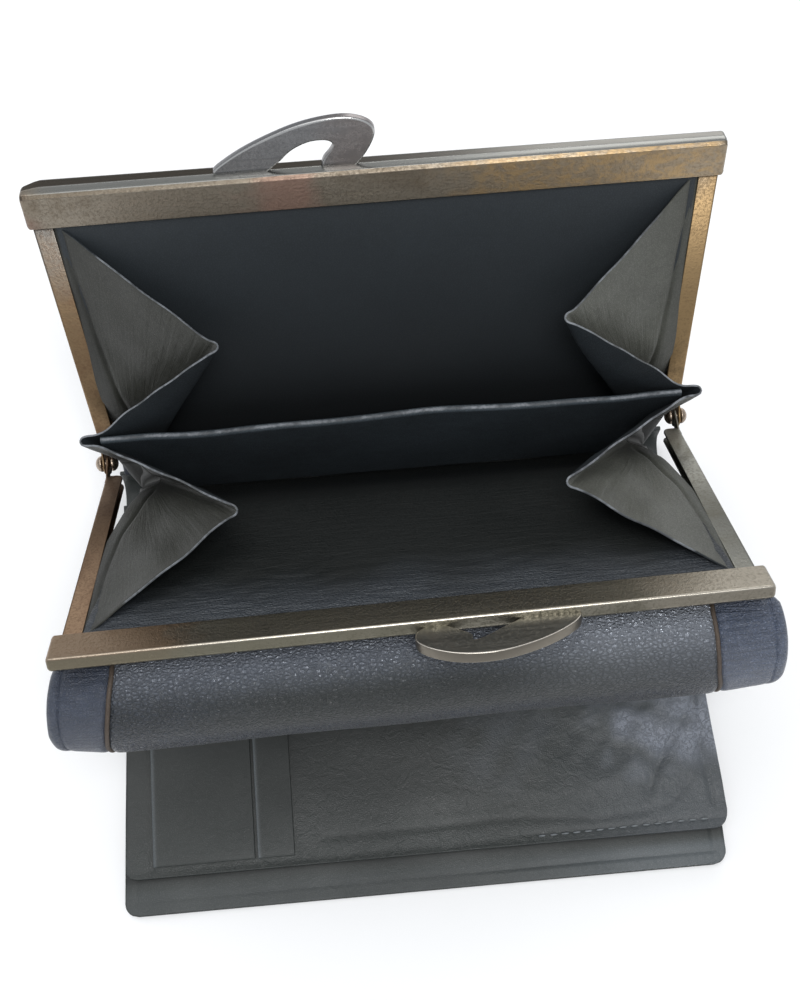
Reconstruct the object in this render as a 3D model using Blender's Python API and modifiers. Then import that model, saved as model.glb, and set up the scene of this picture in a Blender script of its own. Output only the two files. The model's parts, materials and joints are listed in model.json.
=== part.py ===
"""French purse wallet: a two-compartment coin purse on a kiss-lock frame, joined to a flat billfold.

The billfold lies on the ground plane with its free edge towards -Y. The purse stands on the spine
at the billfold's +Y end and its frame is open. Metres, +Z up, origin under the billfold's middle.
"""
from math import asin, atan2, cos, hypot, pi, radians, sin, tan

import bmesh
import bpy
import numpy as np
from mathutils import Matrix, Vector

# Room between pieces that touch on the real wallet
CLEARANCE = 0.0003

# Billfold
BILLFOLD_WIDTH = 0.1090
BILLFOLD_DEPTH = 0.0838
CORNER_RADIUS = 0.0030
COVER_THICKNESS = 0.0009
HEM_WIDTH = 0.0048
HEM_THICKNESS = 0.0005
COVER_LINING_THICKNESS = 0.0004
NOTE_PANEL_THICKNESS = 0.0006
NOTE_PANEL_SETBACK = 0.0068
NOTE_PANEL_INSET = 0.0004
POCKET_THICKNESS = 0.0004
POCKET_SIDE_MARGIN = 0.0046
POCKET_WIDTH = 0.0186
POCKET_SETBACK = 0.0020
STRIP_WIDTH = 0.0058
STRIP_THICKNESS = 0.0005
STRIP_SETBACK = 0.0036
SPINE_MARGIN = 0.0012

# Spine: the bend of the cover, round the axis on which purse and billfold fold together
SPINE_RADIUS = 0.0040
SPINE_SIDE_INSET = 0.0005

# Purse: the divider's plane runs from the spine through the rivets
PURSE_LEAN = radians(5.5)
RIVET_RISE = 0.0239
REAR_OPENING = radians(27.9)
FRONT_OPENING = radians(43.0)

# Frame halves: bar and arms of folded sheet metal
FRAME_WIDTH = 0.1054
ARM_REACH = 0.0574
SHEET = 0.00035
BAR_DEPTH = 0.0025
BAR_LEG = 0.0058
BAR_FACE = 0.0002
BAR_ROUNDING = 0.0004
ARM_WIDTH = 0.0030
ARM_FACE = 0.00065
ARM_LEG_START = 0.0080
HINGE_OFFSET = 0.0007
EYE_RADIUS = 0.0020
TONGUE_OVERLAP = 0.0002
RIVET_SHANK_RADIUS = 0.00075
RIVET_HEAD_RADIUS = 0.00145
RIVET_HEAD_HEIGHT = 0.0012
CORD_DIAMETER = 0.0012

# Clasp finger
FINGER_LENGTH = 0.0240
FINGER_HEIGHT = 0.0091
FINGER_THICKNESS = 0.0020
FINGER_MEETING_GAP = 0.0002
FINGER_ROUNDING = 0.00025

# Leather of the purse
WALL_THICKNESS = 0.0008
WALL_OFFSET = 0.0017
LINING_THICKNESS = 0.0005
LINING_OFFSET = 0.00075
FOLD_REACH = 0.0158
REAR_GRIP_INSET = 0.0015
LINING_INSET = 0.0055
WALL_FOOT_OVERHANG = 0.0008
HINGE_INSET = 0.0049
WALL_TAPER_HEIGHT = 0.0060
LINING_FOOT = 0.0060
REAR_LINING_FOOT = 0.0080
DIVIDER_FOOT = 0.0045
DIVIDER_REACH = 0.0150
DIVIDER_INSET = 0.0057
DIVIDER_LEATHER = 0.0006

# Outer front panel: a roll under the bar, then straight to the spine
ROLL_HALF_DEPTH = 0.0086
ROLL_HALF_HEIGHT = 0.0112
ROLL_DROP = 0.0083
ROLL_OUT = 0.0147
ROLL_START = radians(58)
LIP_OUT = 0.0029
LIP_DROP = 0.0012
SEAM_INSET = 0.0067
PANEL_OVERHANG = 0.0028
PANEL_FOOT_INSET = 0.0017
PANEL_FOOT = 0.0024
WELT_DIAMETER = 0.0010
WING_START_REACH = 0.0030

# Gussets
GUSSET_THICKNESS = 0.0007
GUSSET_TOP = 0.0490
GUSSET_EDGE_INSET = 0.0053
GUSSET_FOOT_HEIGHT = 0.0085
GUSSET_FLAT_TOP = 0.0130
GUSSET_OPENING_RUN = 0.0060
GUSSET_FOOT_INSET = 0.0046
REAR_FOLD_DEPTH = 0.0256
FRONT_FOLD_DEPTH = 0.0273
REAR_FOLD_TOP = 0.0352
FRONT_FOLD_TOP = 0.0360
REAR_FOLD_SHARE = 0.50
FRONT_FOLD_SHARE = 0.57
FOLD_HALF_THICKNESS = 0.00045
NOSE_WAIST_INSET = 0.0041
NOSE_TIP_OVERHANG = 0.0003
NOSE_HALF_THICKNESS = 0.0015
NOSE_DEPTH = 0.0012
NOSE_FLARE_START_SHARE = 0.55
NOSE_FOOT_SHARE = 0.35

# Derived places
SPINE_Y = BILLFOLD_DEPTH / 2 - SPINE_RADIUS
SPINE_Z = SPINE_RADIUS
RIVET_Y = SPINE_Y - RIVET_RISE * sin(PURSE_LEAN)
RIVET_Z = SPINE_Z + RIVET_RISE * cos(PURSE_LEAN)
REAR_LEAN = PURSE_LEAN - REAR_OPENING
FRONT_LEAN = PURSE_LEAN + FRONT_OPENING
BAR_BOTTOM = ARM_REACH - BAR_LEG
ARM_TOP = BAR_BOTTOM - CLEARANCE
HALF_FRAME = FRAME_WIDTH / 2
REAR_ARM_X = HALF_FRAME - SHEET - CLEARANCE
FRONT_ARM_X = REAR_ARM_X - HINGE_OFFSET
REAR_GRIP_HALF_WIDTH = HALF_FRAME - REAR_GRIP_INSET
LINING_HALF_WIDTH = HALF_FRAME - LINING_INSET
WALL_FOOT_HALF_WIDTH = HALF_FRAME + WALL_FOOT_OVERHANG
HINGE_HALF_WIDTH = HALF_FRAME - HINGE_INSET
DIVIDER_HALF_WIDTH = HALF_FRAME - DIVIDER_INSET
SEAM_OFFSET = HALF_FRAME - SEAM_INSET
PANEL_HALF_WIDTH = HALF_FRAME + PANEL_OVERHANG
PANEL_FOOT_HALF_WIDTH = HALF_FRAME - PANEL_FOOT_INSET
GUSSET_EDGE = HALF_FRAME - GUSSET_EDGE_INSET
GUSSET_FOOT_X = HALF_FRAME - GUSSET_FOOT_INSET
REAR_FOLD_X = HALF_FRAME - REAR_FOLD_DEPTH
FRONT_FOLD_X = HALF_FRAME - FRONT_FOLD_DEPTH
NOSE_WAIST = HALF_FRAME - NOSE_WAIST_INSET
NOSE_TIP = HALF_FRAME + NOSE_TIP_OVERHANG

COLOURS = {
    "navy": ((0.030, 0.036, 0.052), 0.45, 0.0),
    "olive": ((0.040, 0.043, 0.040), 0.60, 0.0),
    "slate": ((0.055, 0.064, 0.075), 0.50, 0.0),
    "brown": ((0.085, 0.060, 0.042), 0.70, 0.0),
    "brass": ((0.330, 0.270, 0.190), 0.38, 1.0),
    "paper": ((0.400, 0.330, 0.230), 0.90, 0.0),
}


def clear_scene():
    """Removes whatever the file holds, so that the script gives the same model each time."""
    for thing in list(bpy.data.objects):
        bpy.data.objects.remove(thing, do_unlink=True)


def make_collection(name):
    group = bpy.data.collections.new(name)
    bpy.context.scene.collection.children.link(group)
    return group


def paint(thing, colour):
    """Gives the object a material of its own in the named colour."""
    tint, roughness, metallic = COLOURS[colour]
    material = bpy.data.materials.new(thing.name + "_" + colour)
    material.use_nodes = True
    shader = material.node_tree.nodes["Principled BSDF"]
    shader.inputs["Base Color"].default_value = (*tint, 1)
    shader.inputs["Roughness"].default_value = roughness
    shader.inputs["Metallic"].default_value = metallic
    thing.data.materials.append(material)


def add_object(name, mesh, colour, parent, group):
    """Links an object whose mesh is written in its parent's own axes."""
    thing = bpy.data.objects.new(name, mesh)
    group.objects.link(thing)
    thing.parent = parent
    if colour:
        paint(thing, colour)
    return thing


def add_empty(name, parent, place, turn, group):
    empty = bpy.data.objects.new(name, None)
    group.objects.link(empty)
    empty.parent = parent
    empty.location = place
    empty.rotation_euler = turn
    return empty


def box_mesh(name, low, high):
    """A cube primitive stretched between two corners."""
    middle = [(a + b) / 2 for a, b in zip(low, high)]
    size = [b - a for a, b in zip(low, high)]
    bm = bmesh.new()
    bmesh.ops.create_cube(bm, size=1)
    bm.transform(Matrix.Translation(middle) @ Matrix.Diagonal((*size, 1)))
    mesh = bpy.data.meshes.new(name)
    bm.to_mesh(mesh)
    bm.free()
    return mesh


def outline_mesh(name, loops, thickness, matrix, rounding=0):
    """A flat 2D curve, filled and extruded, as a welded mesh. Each loop is a list of (x, y) points."""
    curve = bpy.data.curves.new(name, "CURVE")
    curve.dimensions = "2D"
    curve.fill_mode = "BOTH"
    curve.extrude = thickness / 2 - rounding
    curve.bevel_depth = rounding
    curve.bevel_resolution = 1
    curve.offset = -rounding
    for loop in loops:
        spline = curve.splines.new("POLY")
        spline.points.add(len(loop) - 1)
        spline.use_cyclic_u = True
        for point, (x, y) in zip(spline.points, loop):
            point.co = (x, y, 0, 1)
    holder = bpy.data.objects.new(name + "_outline", curve)
    bpy.context.scene.collection.objects.link(holder)
    bpy.context.view_layer.update()
    graph = bpy.context.evaluated_depsgraph_get()
    mesh = bpy.data.meshes.new_from_object(holder.evaluated_get(graph))
    bpy.data.objects.remove(holder, do_unlink=True)
    bm = bmesh.new()
    bm.from_mesh(mesh)
    bmesh.ops.remove_doubles(bm, verts=bm.verts, dist=CLEARANCE / 100)
    bm.transform(matrix)
    bmesh.ops.recalc_face_normals(bm, faces=bm.faces)
    bm.to_mesh(mesh)
    bm.free()
    mesh.name = name
    return mesh


def plate_matrix(right, up, origin=(0, 0, 0)):
    """Places an outline's x along right, its y along up and its thickness along their product."""
    right, up = Vector(right), Vector(up)
    out = right.cross(up)
    matrix = Matrix((right, up, out)).transposed().to_4x4()
    matrix.translation = origin
    return matrix


def sheet_mesh(name, points):
    """A grid primitive whose corners are moved to points[row][column], an open surface."""
    points = np.asarray(points, float)
    rows, columns = points.shape[:2]
    bm = bmesh.new()
    bmesh.ops.create_grid(bm, x_segments=columns - 1, y_segments=rows - 1, size=1)
    bm.verts.ensure_lookup_table()
    for vertex, place in zip(bm.verts, points.reshape(-1, 3)):
        vertex.co = place
    mesh = bpy.data.meshes.new(name)
    bm.to_mesh(mesh)
    bm.free()
    return mesh


def thicken(thing, thickness, even=True):
    """Turns an open surface into a wall that lies equally on both of its sides."""
    shell = thing.modifiers.new("wall", "SOLIDIFY")
    shell.thickness = thickness
    shell.offset = 0
    shell.use_even_offset = even


def wall(name, path, spans, thickness, colour, parent, group):
    """A leather wall: a path of (y, z) points, and for each point the x where its two sides lie."""
    points = [[(left, y, z), (right, y, z)] for (y, z), (left, right) in zip(path, spans)]
    thing = add_object(name, sheet_mesh(name, points), colour, parent, group)
    thicken(thing, thickness)
    return thing


def tube(name, path, x, diameter, colour, parent, group):
    """A round cord of the given diameter along (y, z) points at one x."""
    curve = bpy.data.curves.new(name, "CURVE")
    curve.dimensions = "3D"
    curve.bevel_depth = diameter / 2
    curve.bevel_resolution = 1
    curve.use_fill_caps = True
    spline = curve.splines.new("POLY")
    spline.points.add(len(path) - 1)
    for point, (y, z) in zip(spline.points, path):
        point.co = (x, y, z, 1)
    return add_object(name, curve, colour, parent, group)


def join(thing, others, group):
    """Unites the other meshes with the object's own by Boolean modifiers."""
    for number, mesh in enumerate(others):
        cutter = bpy.data.objects.new(f"{thing.name}_tool_{number}", mesh)
        group.objects.link(cutter)
        cutter.parent = thing.parent
        cutter.hide_render = True
        cutter.display_type = "WIRE"
        union = thing.modifiers.new("union", "BOOLEAN")
        union.operation = "UNION"
        union.solver = "EXACT"
        union.object = cutter


def arc(middle, radius, start, end, steps):
    """Points on a circle, with angles measured from the first axis towards the second."""
    turns = np.linspace(start, end, steps)
    return [(middle[0] + radius * cos(a), middle[1] + radius * sin(a)) for a in turns]


def at_rivets(lean, reach, out=0):
    """World (y, z) of a point seen from the rivets: reach along a plane that leans towards -Y."""
    side = 1 if lean < PURSE_LEAN else -1
    y = RIVET_Y - reach * sin(lean) + side * out * cos(lean)
    z = RIVET_Z + reach * cos(lean) + side * out * sin(lean)
    return y, z


def wall_line(lean, out, foot):
    """Heights and y of a lower wall: from the fold, where the frame lets go of it, to its foot."""
    return [at_rivets(lean, FOLD_REACH - CLEARANCE, out), foot]


def y_on(line, z):
    """The y of a two-point line at height z."""
    (y1, z1), (y2, z2) = line
    return y1 + (y2 - y1) * (z - z1) / (z2 - z1)


def spine_point(elevation, distance):
    """World (y, z) at a distance from the spine's axis, with elevation from +Y upwards."""
    return SPINE_Y + distance * cos(elevation), SPINE_Z + distance * sin(elevation)


# Billfold

def rounded_sheet(width, front, back, radius):
    """Outline of a flat sheet with round corners at its free edge."""
    half = width / 2
    left = arc((-half + radius, front + radius), radius, pi, pi * 3 / 2, 5)
    right = arc((half - radius, front + radius), radius, pi * 3 / 2, pi * 2, 5)
    return left + right + [(half, back), (-half, back)]


def flat_layer(name, outline, low, thickness, colour, parent, group):
    """One flat layer of the billfold, from height low upwards."""
    place = Matrix.Translation((0, 0, low + thickness / 2))
    return add_object(name, outline_mesh(name, [outline], thickness, place), colour, parent, group)


def build_billfold(root, group):
    """Cover, hem, lining, note panel, card pocket and strip, one above the other."""
    front = -BILLFOLD_DEPTH / 2
    back = SPINE_Y - CLEARANCE / 2
    outline = rounded_sheet(BILLFOLD_WIDTH, front, back, CORNER_RADIUS)
    flat_layer("cover_leather", outline, 0, COVER_THICKNESS, "slate", root, group)

    level = COVER_THICKNESS + CLEARANCE
    inner_back = SPINE_Y - SPINE_MARGIN
    outer = rounded_sheet(BILLFOLD_WIDTH, front, inner_back, CORNER_RADIUS)
    edge = BILLFOLD_WIDTH / 2 - HEM_WIDTH
    inner_front = front + HEM_WIDTH
    notch = [(edge, inner_back), (edge, inner_front), (-edge, inner_front), (-edge, inner_back)]
    flat_layer("cover_hem", outer[:-2] + [outer[-2]] + notch + [outer[-1]], level, HEM_THICKNESS,
               "slate", root, group)
    half = edge - CLEARANCE
    start = inner_front + CLEARANCE
    lining = [(-half, start), (half, start), (half, inner_back), (-half, inner_back)]
    flat_layer("cover_lining", lining, level, COVER_LINING_THICKNESS, "navy", root, group)

    level += HEM_THICKNESS + CLEARANCE
    panel_front = front + NOTE_PANEL_SETBACK
    panel = rounded_sheet(BILLFOLD_WIDTH - 2 * NOTE_PANEL_INSET, panel_front, inner_back, CORNER_RADIUS)
    flat_layer("note_panel", panel, level, NOTE_PANEL_THICKNESS, "slate", root, group)

    level += NOTE_PANEL_THICKNESS + CLEARANCE
    left = -BILLFOLD_WIDTH / 2 + POCKET_SIDE_MARGIN
    right = left + POCKET_WIDTH
    pocket_front = panel_front + POCKET_SETBACK
    pocket = [(left, pocket_front), (right, pocket_front), (right, inner_back), (left, inner_back)]
    flat_layer("card_pocket", pocket, level, POCKET_THICKNESS, "slate", root, group)
    left = right + CLEARANCE
    right = left + STRIP_WIDTH
    strip_front = panel_front + STRIP_SETBACK
    strip = [(left, strip_front), (right, strip_front), (right, inner_back), (left, inner_back)]
    flat_layer("card_strip", strip, level, STRIP_THICKNESS, "slate", root, group)


def build_spine(root, group):
    """The bend of the cover between billfold and purse, a quarter turn round the fold's axis."""
    radius = SPINE_RADIUS - COVER_THICKNESS / 2
    trim = CLEARANCE / 2 / radius
    path = arc((SPINE_Y, SPINE_Z), radius, -pi / 2 + trim, -trim, 7)
    half = BILLFOLD_WIDTH / 2 - SPINE_SIDE_INSET
    spans = [(-half, half)] * len(path)
    wall("spine_leather", path, spans, COVER_THICKNESS, "navy", root, group)


# Frame

def frame_bar(name, half, group):
    """A channel that is open downwards: a box without its floor, bevelled and given a wall."""
    low = (-HALF_FRAME, BAR_FACE, BAR_BOTTOM)
    high = (HALF_FRAME, BAR_FACE + BAR_DEPTH, ARM_REACH)
    mesh = box_mesh(name, low, high)
    bm = bmesh.new()
    bm.from_mesh(mesh)
    floor = [face for face in bm.faces if face.normal.z < -0.5]
    bmesh.ops.delete(bm, geom=floor, context="FACES_ONLY")
    bm.to_mesh(mesh)
    bm.free()
    bar = add_object(name, mesh, "brass", half, group)
    bevel = bar.modifiers.new("rounding", "BEVEL")
    bevel.width = BAR_ROUNDING
    bevel.segments = 2
    shell = bar.modifiers.new("sheet", "SOLIDIFY")
    shell.thickness = SHEET
    shell.offset = -1
    shell.use_even_offset = True


def arm_plate(side, outer_x):
    """The arm's web: an eye round the rivet, the web itself and a tongue that runs up into the bar."""
    back = BAR_FACE + BAR_DEPTH
    tongue_low = BAR_FACE + SHEET + CLEARANCE
    tongue_high = back - SHEET - CLEARANCE
    tongue_top = ARM_REACH - SHEET - CLEARANCE
    eye = arc((0, 0), EYE_RADIUS, radians(150), radians(385), 12)
    web = [(back, ARM_LEG_START - EYE_RADIUS), (back, ARM_TOP), (tongue_high, ARM_TOP),
           (tongue_high, tongue_top), (tongue_low, tongue_top), (tongue_low, ARM_TOP),
           (ARM_FACE, ARM_TOP), (ARM_FACE, ARM_LEG_START - EYE_RADIUS)]
    hole = arc((0, 0), RIVET_SHANK_RADIUS + CLEARANCE, 0, pi * 2 * 11 / 12, 12)
    middle = side * (outer_x - SHEET / 2)
    matrix = plate_matrix((0, 1, 0), (0, 0, 1), (middle, 0, 0))
    return outline_mesh("arm_plate", [eye + web, hole], SHEET, matrix)


def frame_arm(name, side, outer_x, half, group, tools):
    """A channel that is open towards the purse's middle, with its two legs joined to the web."""
    arm = add_object(name, arm_plate(side, outer_x), "brass", half, group)
    back = BAR_FACE + BAR_DEPTH
    inner_x = outer_x - ARM_WIDTH
    overlap_x = outer_x - SHEET / 2
    ends = sorted((side * inner_x, side * overlap_x))
    legs = []
    for near in (ARM_FACE, back - SHEET):
        low = (ends[0], near, ARM_LEG_START)
        high = (ends[1], near + SHEET, ARM_TOP - TONGUE_OVERLAP)
        legs.append(box_mesh(name + "_leg", low, high))
    join(arm, legs, tools)


def finger_outline():
    """The clasp finger's outline: a long foot, an arch and a hook, as shares of length and height.

    The shares count from the hook's outermost point and from the finger's seat on the bar.
    """
    outer_shares = [(0.985, 0.0), (0.998, 0.10), (0.945, 0.31), (0.79, 0.585), (0.635, 0.765),
                    (0.475, 0.90), (0.36, 0.975), (0.20, 1.0), (0.085, 0.93), (0.02, 0.775),
                    (0.0, 0.585), (0.025, 0.385), (0.075, 0.175), (0.135, 0.0)]
    inner_shares = [(0.33, 0.0), (0.335, 0.10), (0.295, 0.275), (0.265, 0.40), (0.28, 0.48),
                    (0.32, 0.505), (0.40, 0.465), (0.475, 0.385), (0.555, 0.265), (0.61, 0.13),
                    (0.65, 0.0)]
    return [(-x * FINGER_LENGTH, z * FINGER_HEIGHT) for x, z in outer_shares + inner_shares]


def clasp_finger(name, half, group):
    """A flat finger that stands on the bar, its hook at the bar's middle."""
    middle = BAR_FACE + BAR_DEPTH / 2
    origin = (-FINGER_MEETING_GAP, middle, ARM_REACH + CLEARANCE)
    matrix = plate_matrix((1, 0, 0), (0, 0, 1), origin)
    mesh = outline_mesh(name, [finger_outline()], FINGER_THICKNESS, matrix, FINGER_ROUNDING)
    add_object(name, mesh, "brass", half, group)


def channel_cord(name, half, group):
    """The paper cord that packs the top of the channel above the leather's edge."""
    curve = bpy.data.curves.new(name, "CURVE")
    curve.dimensions = "3D"
    curve.bevel_depth = CORD_DIAMETER / 2
    curve.bevel_resolution = 1
    curve.use_fill_caps = True
    spline = curve.splines.new("POLY")
    spline.points.add(1)
    depth = BAR_FACE + BAR_DEPTH / 2
    height = ARM_REACH - SHEET - CLEARANCE - CORD_DIAMETER / 2
    for point, side in zip(spline.points, (-1, 1)):
        point.co = (side * DIVIDER_HALF_WIDTH, depth, height, 1)
    add_object(name, curve, "paper", half, group)


def frame_half(word, half, arm_x, mirrored, group, tools):
    """Bar, two arms, clasp finger and channel cord of one half, in the half's own axes."""
    frame_bar(word + "_bar", half, group)
    for side in (-1, 1):
        world_side = -side if mirrored else side
        label = "left" if world_side < 0 else "right"
        frame_arm(f"{word}_arm_{label}", side, arm_x, half, group, tools)
    clasp_finger(word + "_clasp_finger", half, group)
    channel_cord(word + "_channel_cord", half, group)


def build_rivets(purse, group):
    """A rivet with two domed heads at each end of the frame, turned round the hinge's axis."""
    inner = FRONT_ARM_X - SHEET - CLEARANCE
    outer = REAR_ARM_X + CLEARANCE
    dome = RIVET_HEAD_HEIGHT
    profile = [(0, outer + dome), (RIVET_HEAD_RADIUS / 2, outer + dome),
               (RIVET_HEAD_RADIUS, outer + dome / 2), (RIVET_HEAD_RADIUS, outer),
               (RIVET_SHANK_RADIUS, outer), (RIVET_SHANK_RADIUS, inner), (RIVET_HEAD_RADIUS, inner),
               (RIVET_HEAD_RADIUS, inner - dome / 2), (RIVET_HEAD_RADIUS / 2, inner - dome),
               (0, inner - dome)]
    for side, label in ((-1, "left"), (1, "right")):
        bm = bmesh.new()
        corners = [bm.verts.new((x, 0, z)) for x, z in profile]
        for a, b in zip(corners, corners[1:]):
            bm.edges.new((a, b))
        mesh = bpy.data.meshes.new("rivet_profile")
        bm.to_mesh(mesh)
        bm.free()
        rivet = add_object("hinge_rivet_" + label, mesh, "brass", purse, group)
        rivet.location = (0, RIVET_Y - SPINE_Y, RIVET_Z - SPINE_Z)
        rivet.rotation_euler = (0, side * pi / 2, 0)
        turn = rivet.modifiers.new("turn", "SCREW")
        turn.axis = "Z"
        turn.steps = 12
        turn.render_steps = 12
        turn.use_merge_vertices = True
        turn.merge_threshold = CLEARANCE / 100
        turn.use_smooth_shade = True


# Leather of the purse

def flat_wall(name, half_width, out, low, high, thickness, colour, half, group):
    """A flat piece of a wall that a frame half carries."""
    mesh = box_mesh(name, (-half_width, out - thickness / 2, low), (half_width, out + thickness / 2, high))
    add_object(name, mesh, colour, half, group)


def build_upper_walls(rear, front, group):
    """Walls and linings between the bars and the folds where the frame lets go of the leather."""
    wall_top = ARM_REACH - SHEET - 2 * CLEARANCE - CORD_DIAMETER
    low = FOLD_REACH + CLEARANCE / 2
    flat_wall("rear_wall_upper", REAR_GRIP_HALF_WIDTH, WALL_OFFSET, low, wall_top, WALL_THICKNESS,
              "navy", rear, group)
    for word, half in (("rear", rear), ("front", front)):
        flat_wall(word + "_lining_upper", LINING_HALF_WIDTH, LINING_OFFSET, low, ARM_TOP,
                  LINING_THICKNESS, "navy", half, group)


def in_purse(path):
    """World (y, z) points in the axes of the purse, whose origin is on the spine's axis."""
    return [(y - SPINE_Y, z - SPINE_Z) for y, z in path]


def rear_lining_line():
    foot = spine_point(pi / 2 - atan2(FOLD_REACH * sin(REAR_OPENING), RIVET_RISE + FOLD_REACH) / 2,
                       REAR_LINING_FOOT)
    return wall_line(REAR_LEAN, LINING_OFFSET, foot)


def front_lining_line():
    fold = at_rivets(FRONT_LEAN, FOLD_REACH - CLEARANCE, LINING_OFFSET)
    elevation = atan2(fold[1] - SPINE_Z, fold[0] - SPINE_Y)
    return [fold, spine_point(elevation, LINING_FOOT)]


def build_lower_walls(purse, group):
    """Rear wall and the two linings between the folds and the spine."""
    foot = (SPINE_Y + SPINE_RADIUS - COVER_THICKNESS / 2, SPINE_Z + CLEARANCE / 2)
    line = wall_line(REAR_LEAN, WALL_OFFSET, foot)
    top, waist = RIVET_Z + WALL_TAPER_HEIGHT, RIVET_Z
    path = [foot, (y_on(line, waist), waist), (y_on(line, top), top), line[0]]
    widths = [WALL_FOOT_HALF_WIDTH, WALL_FOOT_HALF_WIDTH, HINGE_HALF_WIDTH, HINGE_HALF_WIDTH]
    spans = [(-w, w) for w in widths]
    wall("rear_wall_lower", in_purse(path), spans, WALL_THICKNESS, "navy", purse, group)
    for word, line in (("rear", rear_lining_line()), ("front", front_lining_line())):
        spans = [(-LINING_HALF_WIDTH, LINING_HALF_WIDTH)] * 2
        wall(word + "_lining_lower", in_purse(line), spans, LINING_THICKNESS, "navy", purse, group)


def roll_middle():
    """World (y, z) of the middle of the roll's oval section."""
    return at_rivets(FRONT_LEAN, ARM_REACH - ROLL_DROP, ROLL_OUT)


def roll_end():
    """Angle on the oval where a straight line to the spine's axis leaves it without a kink."""
    y, z = roll_middle()
    forward, rise = SPINE_Y - y, (z - SPINE_Z) * ROLL_HALF_DEPTH / ROLL_HALF_HEIGHT
    slope = atan2(rise, forward) - asin(ROLL_HALF_DEPTH / hypot(forward, rise))
    return pi * 3 / 2 - slope


def on_roll(angle):
    """World (y, z) on the oval, with the angle from +Y upwards."""
    y, z = roll_middle()
    return y + ROLL_HALF_DEPTH * cos(angle), z + ROLL_HALF_HEIGHT * sin(angle)


def front_axes(point):
    """(out, reach) in the front half's axes of a world (y, z) point."""
    y, z = point[0] - RIVET_Y, point[1] - RIVET_Z
    return -y * cos(FRONT_LEAN) - z * sin(FRONT_LEAN), -y * sin(FRONT_LEAN) + z * cos(FRONT_LEAN)


def roll_path():
    """(out, reach) points from inside the bar, out under its lip and round the roll to its end."""
    oval = [front_axes(on_roll(angle)) for angle in np.linspace(ROLL_START, roll_end(), 12)]
    top = ARM_REACH - SHEET - 2 * CLEARANCE - CORD_DIAMETER
    lip = BAR_BOTTOM - LIP_DROP
    return [(WALL_OFFSET, top), (WALL_OFFSET, (BAR_BOTTOM + lip) / 2), (LIP_OUT, lip)] + oval


def build_front_panel_upper(front, group):
    """The roll under the front bar: middle panel, two wings and the welts in the seams."""
    path = roll_path()
    middle_half = SEAM_OFFSET - WELT_DIAMETER / 2 - CLEARANCE
    wall("front_panel_upper", path, [(-middle_half, middle_half)] * len(path), WALL_THICKNESS,
         "navy", front, group)
    wing = [point for point in path if point[0] > WING_START_REACH]
    inner = SEAM_OFFSET + WELT_DIAMETER / 2 + CLEARANCE
    outer = [HALF_FRAME + (PANEL_HALF_WIDTH - HALF_FRAME) * min(1, 2 * i / (len(wing) - 1))
             for i in range(len(wing))]
    for side in (-1, 1):
        label = "left" if side > 0 else "right"
        spans = [tuple(sorted((side * inner, side * x))) for x in outer]
        wall("front_wing_upper_" + label, wing, spans, WALL_THICKNESS, "navy", front, group)
        tube("seam_welt_upper_" + label, wing, side * SEAM_OFFSET, WELT_DIAMETER, "brown", front, group)


def build_front_panel_lower(purse, group):
    """The straight lower part of the outer front panel, from the roll to the spine."""
    y, z = on_roll(roll_end())
    elevation = atan2(z - SPINE_Z, SPINE_Y - y)
    start = (y + CLEARANCE * cos(elevation), z - CLEARANCE * sin(elevation))
    end = spine_point(pi - elevation, PANEL_FOOT)
    path = in_purse([start, end])
    middle_half = SEAM_OFFSET - WELT_DIAMETER / 2 - CLEARANCE
    wall("front_panel_lower", path, [(-middle_half, middle_half)] * 2, WALL_THICKNESS,
         "navy", purse, group)
    inner = SEAM_OFFSET + WELT_DIAMETER / 2 + CLEARANCE
    for side in (-1, 1):
        label = "left" if side < 0 else "right"
        spans = [tuple(sorted((side * inner, side * PANEL_HALF_WIDTH))),
                 tuple(sorted((side * inner, side * PANEL_FOOT_HALF_WIDTH)))]
        wall("front_wing_lower_" + label, path, spans, WALL_THICKNESS, "navy", purse, group)
        tube("seam_welt_lower_" + label, path, side * SEAM_OFFSET, WELT_DIAMETER, "brown", purse, group)


def build_divider(purse, group):
    """One piece of leather folded over at the top, with a slit between its two layers."""
    out = CLEARANCE / 2 + DIVIDER_LEATHER / 2
    low, high = DIVIDER_FOOT, RIVET_RISE + DIVIDER_REACH - out - DIVIDER_LEATHER / 2
    fold = arc((0, high), out, 0, pi, 7)
    path = [(out, low)] + fold + [(-out, low)]
    turned = [(y * cos(PURSE_LEAN) - z * sin(PURSE_LEAN), y * sin(PURSE_LEAN) + z * cos(PURSE_LEAN))
              for y, z in path]
    spans = [(-DIVIDER_HALF_WIDTH, DIVIDER_HALF_WIDTH)] * len(turned)
    wall("divider", turned, spans, DIVIDER_LEATHER, "navy", purse, group)


def middle_y(z):
    """The y of the divider's middle plane at height z."""
    return RIVET_Y - (z - RIVET_Z) * tan(PURSE_LEAN)


def edge_y(side, lean, line, z):
    """The y at height z of the gusset's outer edge, which lies against the inside of the lining."""
    room = LINING_THICKNESS / 2 + CLEARANCE + GUSSET_THICKNESS / 2
    (top_y, top_z), (foot_y, foot_z) = line
    if z > top_z:
        lining = RIVET_Y - (z - RIVET_Z) * tan(lean) + side * LINING_OFFSET / cos(lean)
        return lining - side * room / cos(lean)
    slant = hypot(top_y - foot_y, top_z - foot_z) / (top_z - foot_z)
    return y_on(line, z) - side * room * slant


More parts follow.
